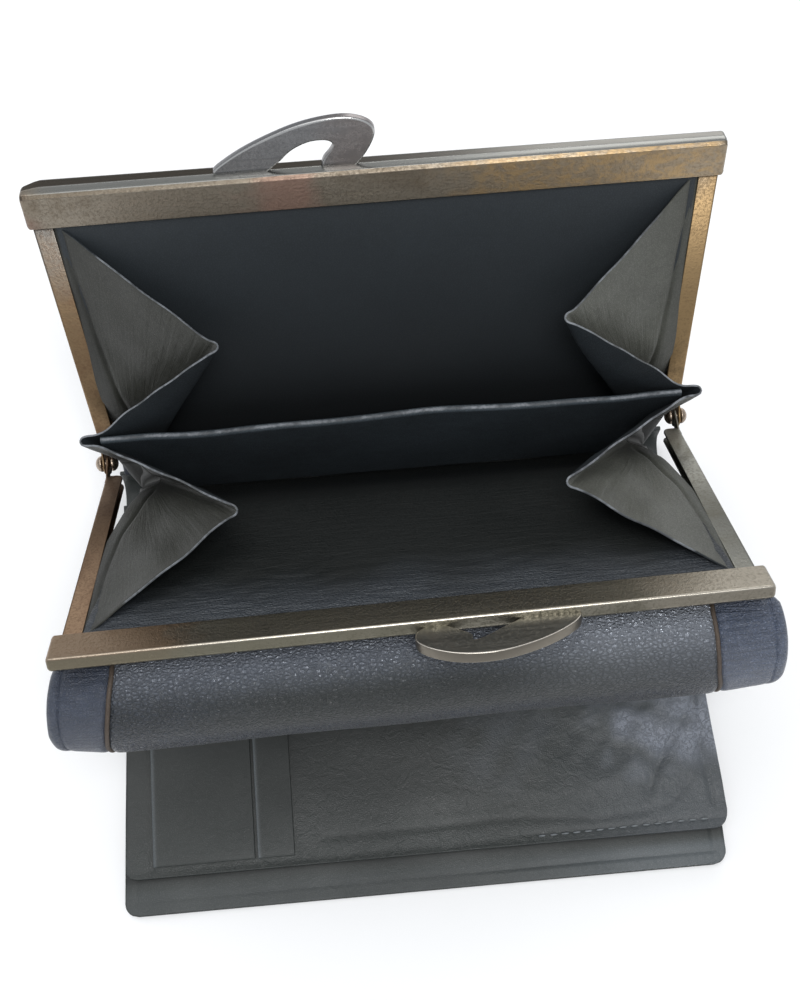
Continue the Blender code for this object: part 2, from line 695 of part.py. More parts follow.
def gusset_side(side, lean, line, fold_x, fold_top, fold_share, steps):
    """Columns from foot to top of one side of a gusset: outer edge, three at the fold, divider side."""
    foot = SPINE_Z + GUSSET_FOOT_HEIGHT
    tops = [at_rivets(lean, GUSSET_TOP)[1]]
    tops += [at_rivets(lean + (PURSE_LEAN - lean) * (1 - fold_share), fold_top)[1]] * 3
    tops += [SPINE_Z + (RIVET_RISE + DIVIDER_REACH) * cos(PURSE_LEAN)]
    columns = []
    for number, top in enumerate(tops):
        column = []
        for z in np.linspace(foot, top, steps):
            height = z - SPINE_Z
            opened = min(1, max(0, (height - GUSSET_FLAT_TOP) / GUSSET_OPENING_RUN))
            outer = edge_y(side, lean, line, z)
            slim = NOSE_FOOT_SHARE * abs(edge_y(1, REAR_LEAN, rear_lining_line(), z) - middle_y(z))
            inner = middle_y(z) + side * (slim + (NOSE_HALF_THICKNESS - slim) * opened)
            rise = (height - GUSSET_FLAT_TOP) / (tops[1] - SPINE_Z - GUSSET_FLAT_TOP)
            fold = GUSSET_FOOT_X + (fold_x - GUSSET_FOOT_X) * max(0, rise)
            share = 0.5 + (fold_share - 0.5) * max(0, rise)
            middle = inner + (outer - inner) * share
            spread = abs(outer - inner) / 4 * (1 - opened) + FOLD_HALF_THICKNESS * opened
            place = [(GUSSET_FOOT_X + (GUSSET_EDGE - GUSSET_FOOT_X) * opened, outer),
                     (fold + FOLD_HALF_THICKNESS * opened, middle + side * spread),
                     (fold, middle),
                     (fold + FOLD_HALF_THICKNESS * opened, middle - side * spread),
                     (nose_x(height) - NOSE_DEPTH * (1 + opened) / 2, inner)][number]
            column.append((*place, z))
        columns.append(column)
    return columns


def nose_x(height):
    """How far out the gusset's middle reaches, where it wraps round the divider's end."""
    rise = (height - GUSSET_FOOT_HEIGHT) / (RIVET_RISE + DIVIDER_REACH - GUSSET_FOOT_HEIGHT)
    flare = max(0, (rise - NOSE_FLARE_START_SHARE) / (1 - NOSE_FLARE_START_SHARE))
    return NOSE_WAIST + (NOSE_TIP - NOSE_WAIST) * min(1, flare) ** 1.5


def build_gusset(label, hand, purse, group):
    """A W-shaped side wall: rear wall, inward fold, nose round the divider, inward fold, front wall."""
    steps = 10
    top = (RIVET_RISE + DIVIDER_REACH) * cos(PURSE_LEAN)
    nose = [(nose_x(h), middle_y(SPINE_Z + h), SPINE_Z + h)
            for h in np.linspace(GUSSET_FOOT_HEIGHT, top, steps)]
    rear = gusset_side(1, REAR_LEAN, rear_lining_line(), REAR_FOLD_X, REAR_FOLD_TOP, REAR_FOLD_SHARE, steps)
    front = gusset_side(-1, FRONT_LEAN, front_lining_line(), FRONT_FOLD_X, FRONT_FOLD_TOP,
                        FRONT_FOLD_SHARE, steps)
    columns = rear + [nose] + front[::-1]
    points = np.transpose(np.array(columns), (1, 0, 2)) - np.array([0, SPINE_Y, SPINE_Z])
    mesh = sheet_mesh("gusset_" + label, points * np.array([hand, 1, 1]))
    thing = add_object("gusset_" + label, mesh, "olive", purse, group)
    thicken(thing, GUSSET_THICKNESS, even=False)


def main():
    clear_scene()
    group = make_collection("wallet")
    tools = make_collection("wallet_tools")
    root = add_empty("billfold_origin", None, (0, 0, 0), (0, 0, 0), group)
    purse = add_empty("spine_axis", root, (0, SPINE_Y, SPINE_Z), (0, 0, 0), group)
    rivets = (0, RIVET_Y - SPINE_Y, RIVET_Z - SPINE_Z)
    rear = add_empty("rear_half_axis", purse, rivets, (REAR_LEAN, 0, 0), group)
    front = add_empty("front_half_axis", purse, rivets, (-FRONT_LEAN, 0, pi), group)
    build_billfold(root, group)
    build_spine(root, group)
    frame_half("rear", rear, REAR_ARM_X, False, group, tools)
    frame_half("front", front, FRONT_ARM_X, True, group, tools)
    build_rivets(purse, group)
    build_upper_walls(rear, front, group)
    build_lower_walls(purse, group)
    build_front_panel_upper(front, group)
    build_front_panel_lower(purse, group)
    build_divider(purse, group)
    build_gusset("left", -1, purse, group)
    build_gusset("right", 1, purse, group)


main()
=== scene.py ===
import json
from math import atan2, cos, pi, radians, sin

import bmesh
import bpy
import numpy as np
from bpy.props import FloatProperty, FloatVectorProperty, PointerProperty
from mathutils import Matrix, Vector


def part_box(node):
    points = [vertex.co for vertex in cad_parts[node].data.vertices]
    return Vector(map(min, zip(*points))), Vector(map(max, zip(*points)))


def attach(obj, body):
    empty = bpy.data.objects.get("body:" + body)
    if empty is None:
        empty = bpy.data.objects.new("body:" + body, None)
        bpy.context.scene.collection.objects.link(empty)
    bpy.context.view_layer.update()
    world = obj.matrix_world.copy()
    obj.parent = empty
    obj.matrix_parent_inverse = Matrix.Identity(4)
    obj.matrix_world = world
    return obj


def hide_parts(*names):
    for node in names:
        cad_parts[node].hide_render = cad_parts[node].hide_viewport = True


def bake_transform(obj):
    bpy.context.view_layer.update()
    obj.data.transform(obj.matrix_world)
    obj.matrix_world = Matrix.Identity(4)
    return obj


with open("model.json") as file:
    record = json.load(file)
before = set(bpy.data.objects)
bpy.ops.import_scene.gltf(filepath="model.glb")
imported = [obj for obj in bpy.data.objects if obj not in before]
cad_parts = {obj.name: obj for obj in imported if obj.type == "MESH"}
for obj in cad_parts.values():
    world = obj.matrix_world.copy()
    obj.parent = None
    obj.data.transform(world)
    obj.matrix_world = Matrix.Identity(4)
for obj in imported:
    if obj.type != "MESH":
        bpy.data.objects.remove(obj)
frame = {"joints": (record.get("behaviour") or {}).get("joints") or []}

bl_info = {
    "name": "French purse wallet",
    "version": (1, 0, 0),
    "blender": (4, 5, 0),
    "location": "View3D > Sidebar > Wallet",
    "description": "Leather, metal and stitching for a kiss-lock purse joined to a billfold",
    "category": "Object",
}

JOINTS = {joint["name"]: joint for joint in frame["joints"]}
RIVET = np.array(JOINTS["rear_half"]["pos_m"][1:])
SPINE = np.array(JOINTS["wallet_fold"]["pos_m"][1:])
PURSE_LEAN = atan2(SPINE[0] - RIVET[0], RIVET[1] - SPINE[1])
REAR_LEAN = PURSE_LEAN - radians(JOINTS["rear_half"]["range_deg"][1])
FRONT_LEAN = PURSE_LEAN + radians(JOINTS["front_half"]["range_deg"][1])
HALF_WIDTH = 0.0527
SPINE_BEND = 0.00355
FRONT_REACH, FRONT_SKEW = 0.993, 0.427
OVAL_DEEP, OVAL_HIGH = 0.0086, 0.0112


# places

def mm(values):
    """Millimetres as an array of metres."""
    return np.array(values, float) / 1000


def half_point(half, out, reach):
    """World (y, z) of a point of one frame half: reach along its plane from the rivets, out from it.

    y = rivet y - reach * sin(lean) +- out * cos(lean), z = rivet z + reach * cos(lean) +- out * sin(lean).
    """
    lean, side = (REAR_LEAN, 1) if half == "rear" else (FRONT_LEAN, -1)
    out, reach = np.asarray(out, float), np.asarray(reach, float)
    y = RIVET[0] - reach * sin(lean) + side * out * cos(lean)
    z = RIVET[1] + reach * cos(lean) + side * out * sin(lean)
    return np.stack([y, z], -1)


def in_half(half, points):
    """World points from (x, out, reach) of a frame half; the front one stands a little askew, with its
    reach times 0.993 - 0.427 x."""
    points = np.asarray(points, float)
    reach = points[..., 2] * (FRONT_REACH - FRONT_SKEW * points[..., 0] if half == "front" else 1)
    return np.concatenate([points[..., :1], half_point(half, points[..., 1], reach)], -1)


def askew(grid):
    """World points of the front leather, moved as far along the front half's plane as in_half does."""
    way = half_point("front", 0, 1) - RIVET
    reach = np.maximum((grid[..., 1:] - RIVET) @ way, 0)
    step = reach * (FRONT_REACH - 1 - FRONT_SKEW * grid[..., 0])
    return np.concatenate([grid[..., :1], grid[..., 1:] + step[..., None] * way], -1)


def middle_y(z):
    """The y of the divider's plane at height z: rivet y less the rise times the lean's tangent."""
    return RIVET[0] - (np.asarray(z, float) - RIVET[1]) * np.tan(PURSE_LEAN)


# curves and surfaces

def lengths(points):
    """Running length along a polyline, from 0 at its first point."""
    return np.concatenate([[0], np.cumsum(np.linalg.norm(np.diff(points, axis=0), axis=1))])


def resample(points, count):
    """Points at equal steps of length along a polyline: each coordinate is interpolated on the length."""
    points = np.asarray(points, float)
    run = lengths(points)
    steps = np.linspace(0, run[-1], count)
    return np.stack([np.interp(steps, run, points[:, axis]) for axis in range(points.shape[1])], 1)


def soften(points, rounds=3):
    """Corner cutting: each edge gives the points at 1/4 and 3/4 of it, and the two ends stay."""
    points = np.asarray(points, float)
    for _ in range(rounds):
        cut = np.stack([points[:-1] * 0.75 + points[1:] * 0.25, points[:-1] * 0.25 + points[1:] * 0.75], 1)
        points = np.concatenate([points[:1], cut.reshape(-1, *points.shape[1:]), points[-1:]])
    return points


def round_outline(corners, radii, steps=5):
    """A closed outline with round corners: each corner C gives (1-t)^2 A + 2t(1-t) C + t^2 B, where A and
    B stand one radius before and after it, and a point a little beyond each keeps the flat sides flat."""
    corners = np.asarray(corners, float)
    radii = np.broadcast_to(radii, len(corners))[:, None]
    before = np.roll(corners, 1, axis=0) - corners
    after = np.roll(corners, -1, axis=0) - corners
    before /= np.linalg.norm(before, axis=1)[:, None]
    after /= np.linalg.norm(after, axis=1)[:, None]
    t = np.linspace(0, 1, steps)[:, None, None]
    a, b = corners + before * radii, corners + after * radii
    bow = (1 - t) ** 2 * a + 2 * t * (1 - t) * corners + t**2 * b
    support = np.stack([corners + before * radii * 1.25, corners + after * radii * 1.25])
    return np.swapaxes(np.concatenate([support[:1], bow, support[1:]]), 0, 1).reshape(-1, corners.shape[1])


def across(path, left, right, columns):
    """A sheet: each (y, z) of the path spread over columns from x left to x right, both per row.

    columns is a count, or the columns' places from 0 to 1.
    """
    path = np.asarray(path, float)
    places = np.linspace(0, 1, columns) if np.isscalar(columns) else columns
    left = np.broadcast_to(left, len(path))[:, None]
    right = np.broadcast_to(right, len(path))[:, None]
    x = left + (right - left) * places
    rest = np.broadcast_to(path[:, None, :], (*x.shape, 2))
    return np.concatenate([x[..., None], rest], -1)


def close_to_ends(columns, share=0.03, count=9):
    """Places from 0 to 1 that stand closer together in the first and last share."""
    return np.concatenate([np.linspace(0, share, count)[:-1], np.linspace(share, 1 - share, columns),
                           np.linspace(1 - share, 1, count)[1:]])


def loft(lines, columns):
    """A surface through lines (k, rows, 3): corner cutting from line to line, then even columns."""
    lines = soften(lines, 2)
    gaps = np.linalg.norm(np.diff(lines, axis=0), axis=2).mean(1)
    run = np.concatenate([[0], np.cumsum(gaps)]) / gaps.sum()
    places = np.interp(np.linspace(0, 1, columns), run, np.arange(len(lines)))
    low = np.minimum(places.astype(int), len(lines) - 2)
    share = (places - low)[:, None, None]
    return np.swapaxes(lines[low] * (1 - share) + lines[low + 1] * share, 0, 1)


def facing(grid):
    """Unit normals of a grid: the cross product of its differences along columns and along rows."""
    normal = np.cross(np.gradient(grid, axis=1), np.gradient(grid, axis=0))
    return normal / np.maximum(np.linalg.norm(normal, axis=-1, keepdims=True), 1e-12)


def ripples(grid, seed, length, height):
    """Uneven leather: the mean of eight sine waves of random direction and phase, times height * 2."""
    random = np.random.default_rng(seed)
    waves = random.normal(size=(8, 3))
    waves *= (2 * pi / length * random.uniform(0.6, 1.5, 8) / np.linalg.norm(waves, axis=1))[:, None]
    return np.sin(grid @ waves.T + random.uniform(0, 2 * pi, 8)).mean(-1) * height * 2


def push(grid, amount):
    """Each point moved along its normal by amount, a number or one value per point."""
    return grid + facing(grid) * np.asarray(amount)[..., None]


def smooth_step(value, low, high):
    """0 below low, 1 above high, and 3t^2 - 2t^3 between."""
    t = np.clip((np.asarray(value, float) - low) / (high - low), 0, 1)
    return t * t * (3 - 2 * t)


def line_distance(points, line):
    """Distance of each point to a polyline: the least, over its segments, of the distance to the
    segment's nearest point."""
    points, line = np.asarray(points, float)[..., None, :], np.asarray(line, float)
    start, step = line[:-1], np.diff(line, axis=0)
    t = np.clip(((points - start) * step).sum(-1) / (step**2).sum(-1), 0, 1)
    return np.linalg.norm(points - (start + t[..., None] * step), axis=-1).min(-1)


def ridge(distance, width):
    """1 on a line, falling off as exp(-(distance / width)^2)."""
    return np.exp(-((distance / width) ** 2))


def turned_down(distance, width):
    """1 at an edge, falling off as (1 - distance / width)^2 to 0 at the width."""
    return np.clip(1 - distance / width, 0, 1) ** 2


# meshes

def mesh_piece(name, points, faces, uv=None, marks=None, closed=False):
    """A linked object from vertex and face arrays, with a UV pair in metres and marks for each vertex."""
    mesh = bpy.data.meshes.new(name)
    mesh.from_pydata(points, [], faces)
    if uv is not None:
        corners = np.empty(len(mesh.loops), np.int32)
        mesh.loops.foreach_get("vertex_index", corners)
        mesh.uv_layers.new(name="UVMap").data.foreach_set("uv", uv[corners].astype(np.float32).ravel())
    for key, values in (marks or {}).items():
        attribute = mesh.attributes.new(key, "FLOAT", "POINT")
        attribute.data.foreach_set("value", np.asarray(values, np.float32).ravel())
    mesh.polygons.foreach_set("use_smooth", np.ones(len(mesh.polygons), bool))
    if closed:
        shell = bmesh.new()
        shell.from_mesh(mesh)
        bmesh.ops.recalc_face_normals(shell, faces=shell.faces)
        shell.to_mesh(mesh)
        shell.free()
    mesh.update()
    piece = bpy.data.objects.new(name, mesh)
    bpy.context.scene.collection.objects.link(piece)
    return piece


def grid_faces(rows, columns, wrap=False):
    """Quads of a grid of vertices, with the last column joined to the first where it wraps."""
    starts = np.arange(columns if wrap else columns - 1)
    row, column = np.meshgrid(np.arange(rows - 1), starts, indexing="ij")
    after = (column + 1) % columns
    quads = np.stack([row * columns + column, (row + 1) * columns + column,
                      (row + 1) * columns + after, row * columns + after], -1)
    return quads.reshape(-1, 4).tolist()


def sheet_piece(name, grid, thickness, finish, marks=None, edge=0.3, back=None):
    """A leather sheet: the grid as a surface, with a wall of that thickness and rounded edges.

    Its UV is the column's share of the mean width and the running length down the middle column. The
    side that the grid's own normals point away from has the first finish, the other one the back's.
    """
    rows, columns = grid.shape[:2]
    run = lengths(grid[:, columns // 2])
    wide = np.linalg.norm(np.diff(grid, axis=1), axis=2).sum(1).mean()
    share = lengths(grid[rows // 2])
    share = share / share[-1] * wide
    uv = np.stack(np.broadcast_arrays(share[None, :], run[:, None]), -1).reshape(-1, 2)
    marks = {"rim": np.ones((rows, columns)), **(marks or {})}
    piece = mesh_piece(name, grid.reshape(-1, 3), grid_faces(rows, columns), uv, marks)
    wall = piece.modifiers.new("wall", "SOLIDIFY")
    wall.thickness = thickness
    wall.offset = 0
    rounding = piece.modifiers.new("edge", "BEVEL")
    rounding.width = thickness * edge
    rounding.segments = 2
    rounding.angle_limit = radians(50)
    piece.data.materials.append(finish)
    if back:
        piece.data.materials.append(back)
        wall.material_offset = 1
    return piece


def bar_faces(rings, first=0):
    """Faces of rings (stations, around, 3) joined in turn and capped at both ends, numbered from first."""
    stations, around = rings.shape[:2]
    last = first + (stations - 1) * around
    caps = [list(range(first, first + around)), list(range(last + around - 1, last - 1, -1))]
    return (np.array(grid_faces(stations, around, wrap=True)) + first).tolist() + caps


def swept_piece(name, rings, finish, marks=None):
    """A closed bar of rings. Its UV is 10 mm around and the running length of the rings' middles."""
    along, around = lengths(rings.mean(1)), np.linspace(0, 0.01, rings.shape[1])
    uv = np.stack(np.broadcast_arrays(around[None], along[:, None]), -1).reshape(-1, 2)
    piece = mesh_piece(name, rings.reshape(-1, 3), bar_faces(rings), uv, marks, closed=True)
    piece.data.materials.append(finish)
    return piece


def joined_piece(name, parts, finish):
    """One object from several closed bars of rings, with x and z as its UV."""
    points, faces, first = [], [], 0
    for rings in parts:
        faces += bar_faces(rings, first)
        points.append(rings.reshape(-1, 3))
        first += len(points[-1])
    points = np.concatenate(points)
    piece = mesh_piece(name, points, faces, points[:, [0, 2]], closed=True)
    piece.data.materials.append(finish)
    return piece


def tube(path, radius, sides=10):
    """Rings of a round cord along a path: circles across the path."""
    along = np.gradient(path, axis=0)
    along /= np.linalg.norm(along, axis=1)[:, None]
    side = np.cross(along, [1, 0.001, 0])
    side /= np.linalg.norm(side, axis=1)[:, None]
    turn = np.arange(sides)[:, None] * 2 * pi / sides
    ring = np.cos(turn) * side[:, None] + np.sin(turn) * np.cross(side, along)[:, None]
    return path[:, None] + radius * ring


def stitch_piece(name, path, pitch, length, radius, finish):
    """Thread stitches on level leather: small ellipsoids at equal steps of the path, half sunk in it."""
    count = int(lengths(path)[-1] / pitch)
    line = resample(path, 2 * count + 1)
    middle, along = line[1::2], line[2::2] - line[:-2:2]
    along /= np.linalg.norm(along, axis=1)[:, None]
    side = np.cross(along, [0.0, 0.0, 1.0])
    side /= np.linalg.norm(side, axis=1)[:, None]
    axes = np.stack([along, side, np.cross(side, along)], 1)
    rings, sides = 5, 6
    polar, turn = np.linspace(0.1, pi - 0.1, rings)[:, None], np.arange(sides) * 2 * pi / sides
    shape = np.stack([np.broadcast_to(np.cos(polar) * length / 2, (rings, sides)),
                      np.sin(polar) * np.cos(turn) * radius, np.sin(polar) * np.sin(turn) * radius], -1)
    stitches = middle[:, None, None] + np.einsum("rsc,nci->nrsi", shape, axes)
    return joined_piece(name, list(stitches), finish)


# shader maths

class Wire:
    """A value socket in an expression: each operator adds a Math node and gives its output."""

    def __init__(self, owner, socket):
        self.owner, self.socket = owner, socket

    def math(self, kind, *terms):
        return self.owner.node("ShaderNodeMath", {"operation": kind}, *terms)["Value"]

    def __add__(self, other):
        return self.math("ADD", self, other)

    def __sub__(self, other):
        return self.math("SUBTRACT", self, other)

    def __rsub__(self, other):
        return self.math("SUBTRACT", other, self)

    def __mul__(self, other):
        return self.math("MULTIPLY", self, other)

    def __abs__(self):
        return self.math("ABSOLUTE", self)

    def between(self, low, high):
        """0 at low and 1 at high, clamped, smooth between."""
        return self.owner.node("ShaderNodeMapRange", {"interpolation_type": "SMOOTHSTEP"}, Value=self,
                               From_Min=low, From_Max=high)["Result"]

    __radd__ = __add__
    __rmul__ = __mul__


class Finish:
    """A material in the making: one method adds any node, the others name common ones."""

    def __init__(self, name, **constants):
        self.material = bpy.data.materials.new(name)
        self.material.use_nodes = True
        self.tree = self.material.node_tree
        self.shader = self.tree.nodes["Principled BSDF"].inputs
        coordinates = self.node("ShaderNodeTexCoord")
        self.place, self.uv = coordinates["Object"], coordinates["UV"]
        axes = self.node("ShaderNodeSeparateXYZ", Vector=self.place)
        self.x, self.z = axes["X"], axes["Z"]
        for socket, value in constants.items():
            self.feed(self.shader[socket.replace("_", " ")], value)

    def node(self, kind, settings=None, *terms, **values):
        """A node of that type, with its settings made first. Then its sockets are set or linked: terms
        in the order of the sockets in use, values by name."""
        node = self.tree.nodes.new(kind)
        for key, value in (settings or {}).items():
            setattr(node, key, value)
        for entry, term in zip([entry for entry in node.inputs if entry.enabled], terms):
            self.feed(entry, term)
        for key, value in values.items():
            self.feed(node.inputs[key.replace("_", " ")], value)
        return {output.name: Wire(self, output) for output in node.outputs if output.enabled}

    def feed(self, entry, value):
        """A socket linked to a wire, or set to a value; a colour of three channels gets an alpha of 1."""
        if isinstance(value, Wire):
            self.tree.links.new(value.socket, entry)
        elif entry.type == "RGBA":
            entry.default_value = (*value, 1)
        else:
            entry.default_value = value

    def stretched(self, scale, place=None):
        return self.node("ShaderNodeMapping", Vector=place or self.place, Scale=scale)["Vector"]

    def noise(self, scale, detail=3.0, rough=0.55, place=None, warp=0.0, kind="Fac"):
        return self.node("ShaderNodeTexNoise", Vector=place or self.place, Scale=scale, Detail=detail,
                         Roughness=rough, Distortion=warp)[kind]

    def cells(self, scale, place):
        return self.node("ShaderNodeTexVoronoi", {"feature": "DISTANCE_TO_EDGE"}, Vector=place,
                         Scale=scale)["Distance"]

    def mark(self, name):
        return self.node("ShaderNodeAttribute", {"attribute_name": name})["Fac"]

    def shifted(self, place, scale, amount):
        """A place moved about by noise, so that cells and lines aren't straight."""
        drift = self.noise(scale, 2.0, 0.5, place, kind="Color")
        step = self.node("ShaderNodeVectorMath", {"operation": "SCALE"}, Vector=drift, Scale=amount)
        return self.node("ShaderNodeVectorMath", {"operation": "ADD"}, place, step["Vector"])["Vector"]

    def mix(self, share, low, high):
        """The colour low where the share is 0 and high where it is 1."""
        return self.node("ShaderNodeMix", {"data_type": "RGBA"}, share, low, high)["Result"]

    def finish(self, color, rough, height):
        """Feeds the shader: colour, roughness and a Bump node, whose height is in millimetres."""
        self.feed(self.shader["Base Color"], color)
        self.feed(self.shader["Roughness"], rough)
        bump = self.node("ShaderNodeBump", Height=height, Distance=0.001)
        self.feed(self.shader["Normal"], bump["Normal"])
        return self.material


def tone(color, factor):
    """A colour times a factor, each channel at most 1."""
    return tuple(min(1.0, channel * factor) for channel in color)


def leather(name, color, grain, depth, gloss, matt, stretch=(1, 1, 1), crease=0.4, fan=0.0, streak=0.0,
            rim=None, tint=None, contrast=0.5, shine=0.5, cracks=0.0, low=None, flat=0.75, highlight_paint=None,
            crisp=0.3, glint=0.0):
    """Grained leather: warped cells for the pebbles, stretched noise for creases, cloudy colour and shiny
    tops, with depth, fan, streak and cracks as heights in millimetres.

    Fan lines run up the piece's own length and streaks across it, after its UV. The rim is worn and
    lighter. Where the dark mark is, the colour goes to low, a painted shade, and the grain is flatter;
    where the pale one is, the colour goes to a lighter painted highlight colour, with less between the
    pebbles by the share crisp, their tops glint and a web of cracks may show.
    """
    f = Finish(name, Specular_IOR_Level=shine)
    spread = f.stretched(stretch)
    bent = f.shifted(spread, 0.5 / grain, 0.55 * grain)
    pebbles = f.cells(1 / grain, bent).between(0.0, 0.3)
    fine = f.cells(2.4 / grain, bent).between(0.0, 0.3)
    folds = f.noise(0.16 / grain, 4.0, 0.6, spread, 1.2).between(0.35, 0.7)
    clouds = f.noise(30, 3.0, 0.55).between(0.3, 0.7)
    tops = pebbles * (0.6 + fine * 0.4)
    dark, pale = f.mark("dark"), f.mark("pale")
    height = (pebbles * 0.6 + fine * 0.25 + folds * crease) * depth
    if fan:
        lines = f.noise(1.0, 3.0, 0.55, f.stretched((1300, 70, 1), f.uv), 0.5)
        height = height + lines.between(0.3, 0.7) * fan
    if streak:
        lines = f.noise(1.0, 4.0, 0.6, f.stretched((160, 1100, 1), f.uv), 0.9)
        height = height + lines.between(0.35, 0.65) * streak
    if cracks:
        web = abs(f.noise(820, 3.0, 0.6, None, 0.6) - 0.5).between(0.0, 0.06)
        height = height + web * pale * cracks
    height = height * (1 - dark * flat)
    shade = tops * 0.45 + clouds * 0.35 + folds * 0.2
    result = f.mix(shade, tone(color, 1 - contrast), tone(color, 1 + contrast))
    if tint:
        result = f.mix(f.noise(17, 2.0, 0.5).between(0.45, 0.75), result, tint)
    rough = matt - (matt - gloss) * (tops * 0.6 + clouds * 0.4)
    # Painted shade: the colour goes to the low colour where the dark mark is. Painted highlight: it goes to
    # a lighter colour where the pale mark is.
    result = f.mix(dark, result, low or tone(color, 0.25))
    highlight_paint = highlight_paint or tone((0.9, 1.0, 1.22), sum(color) / 3 * 2.4)
    result = f.mix(pale * (1 - crisp + tops * crisp), result, highlight_paint)
    if cracks:
        result = f.mix((1 - web) * pale * 0.35, result, tone(color, 0.9))
    if rim:
        edge = 1 - (f.mark("rim") * 1000 + f.noise(1500, 2.0) * 0.16).between(0.06, 0.17)
        worn = edge * (0.12 + f.noise(200, 4.0, 0.7).between(0.4, 0.6) * 0.88)
        result = f.mix(worn, f.mix(edge, result, tone(rim, 0.25)), rim)
        rough = rough - worn * 0.12
    if glint:
        f.feed(f.shader["Metallic"], pale * tops * glint)
    return f.finish(result, rough + dark * 0.15, height)


def metal(name, bright, tarnish, amount, rough=0.3, pits=0.012, gold=None, patches=(), top=None,
          fade=None, shade_factor=0.3, speck=0.4):
    """Worn plating: tarnish in clouds, fine specks, scratches along the bar, worn gold and patches
    between two places of x, and another colour that it fades to between two heights. Where the top mark
    is, the metal is smooth and has the top colour, a painted highlight; the dark mark gives a face its
    painted shading, the tarnish colour times a factor."""
    f = Finish(name, Metallic=1.0)
    clouds = f.noise(70, 5.0, 0.65, None, 0.6).between(0.62 - amount * 0.3, 0.8)
    specks = f.noise(2300, 3.0, 0.7).between(0.42, 0.68)
    lines = f.noise(1.0, 3.0, 0.6, f.stretched((50, 1300, 1300))).between(0.4, 0.7)
    color = f.mix(clouds, bright, tarnish)
    if fade:
        low, high, hue = fade
        color = f.mix((f.z + (f.noise(150, 3.0) - 0.5) * 0.02).between(low, high), color, hue)
    color = f.mix(specks * speck, color, tone(tarnish, 0.8))
    for low, high, hue, share in patches:
        place = f.x + (f.noise(120, 3.0) - 0.5) * 0.016
        place = place.between(low, low + 0.006) * (1 - place.between(high, high + 0.006))
        color = f.mix(place * share, color, hue)
    if gold:
        low, high, hue = gold
        place = (f.x + (f.noise(200, 4.0) - 0.5) * 0.02).between(low, low + 0.014)
        place = place * (1 - f.x.between(high, high + 0.004))
        flakes = f.noise(520, 5.0, 0.75, f.stretched((0.7, 1, 1)), 0.6).between(0.4, 0.62)
        color = f.mix(place * (0.25 + flakes * 0.6), color, hue)
    # Painted highlight: the top colour where the top mark is.
    if top:
        color = f.mix(f.mark("top"), color, top)
    # Painted shading: the tarnish colour times a factor where the dark mark is.
    color = f.mix(f.mark("dark"), color, tone(tarnish, shade_factor))
    worn = 1 - f.mark("top")
    shine = rough + (clouds * 0.14 + specks * 0.1) * worn + lines * 0.06 - f.mark("top") * 0.05
    return f.finish(color, shine, (specks * pits + lines * 0.004) * worn)


def plain(name, color, rough):
    """A dull finish with fine specks, for thread and cord."""
    f = Finish(name)
    speckle = f.noise(1200, 3.0)
    return f.finish(f.mix(speckle, tone(color, 0.7), tone(color, 1.3)), rough, speckle * 0.05)


MATERIALS = {}


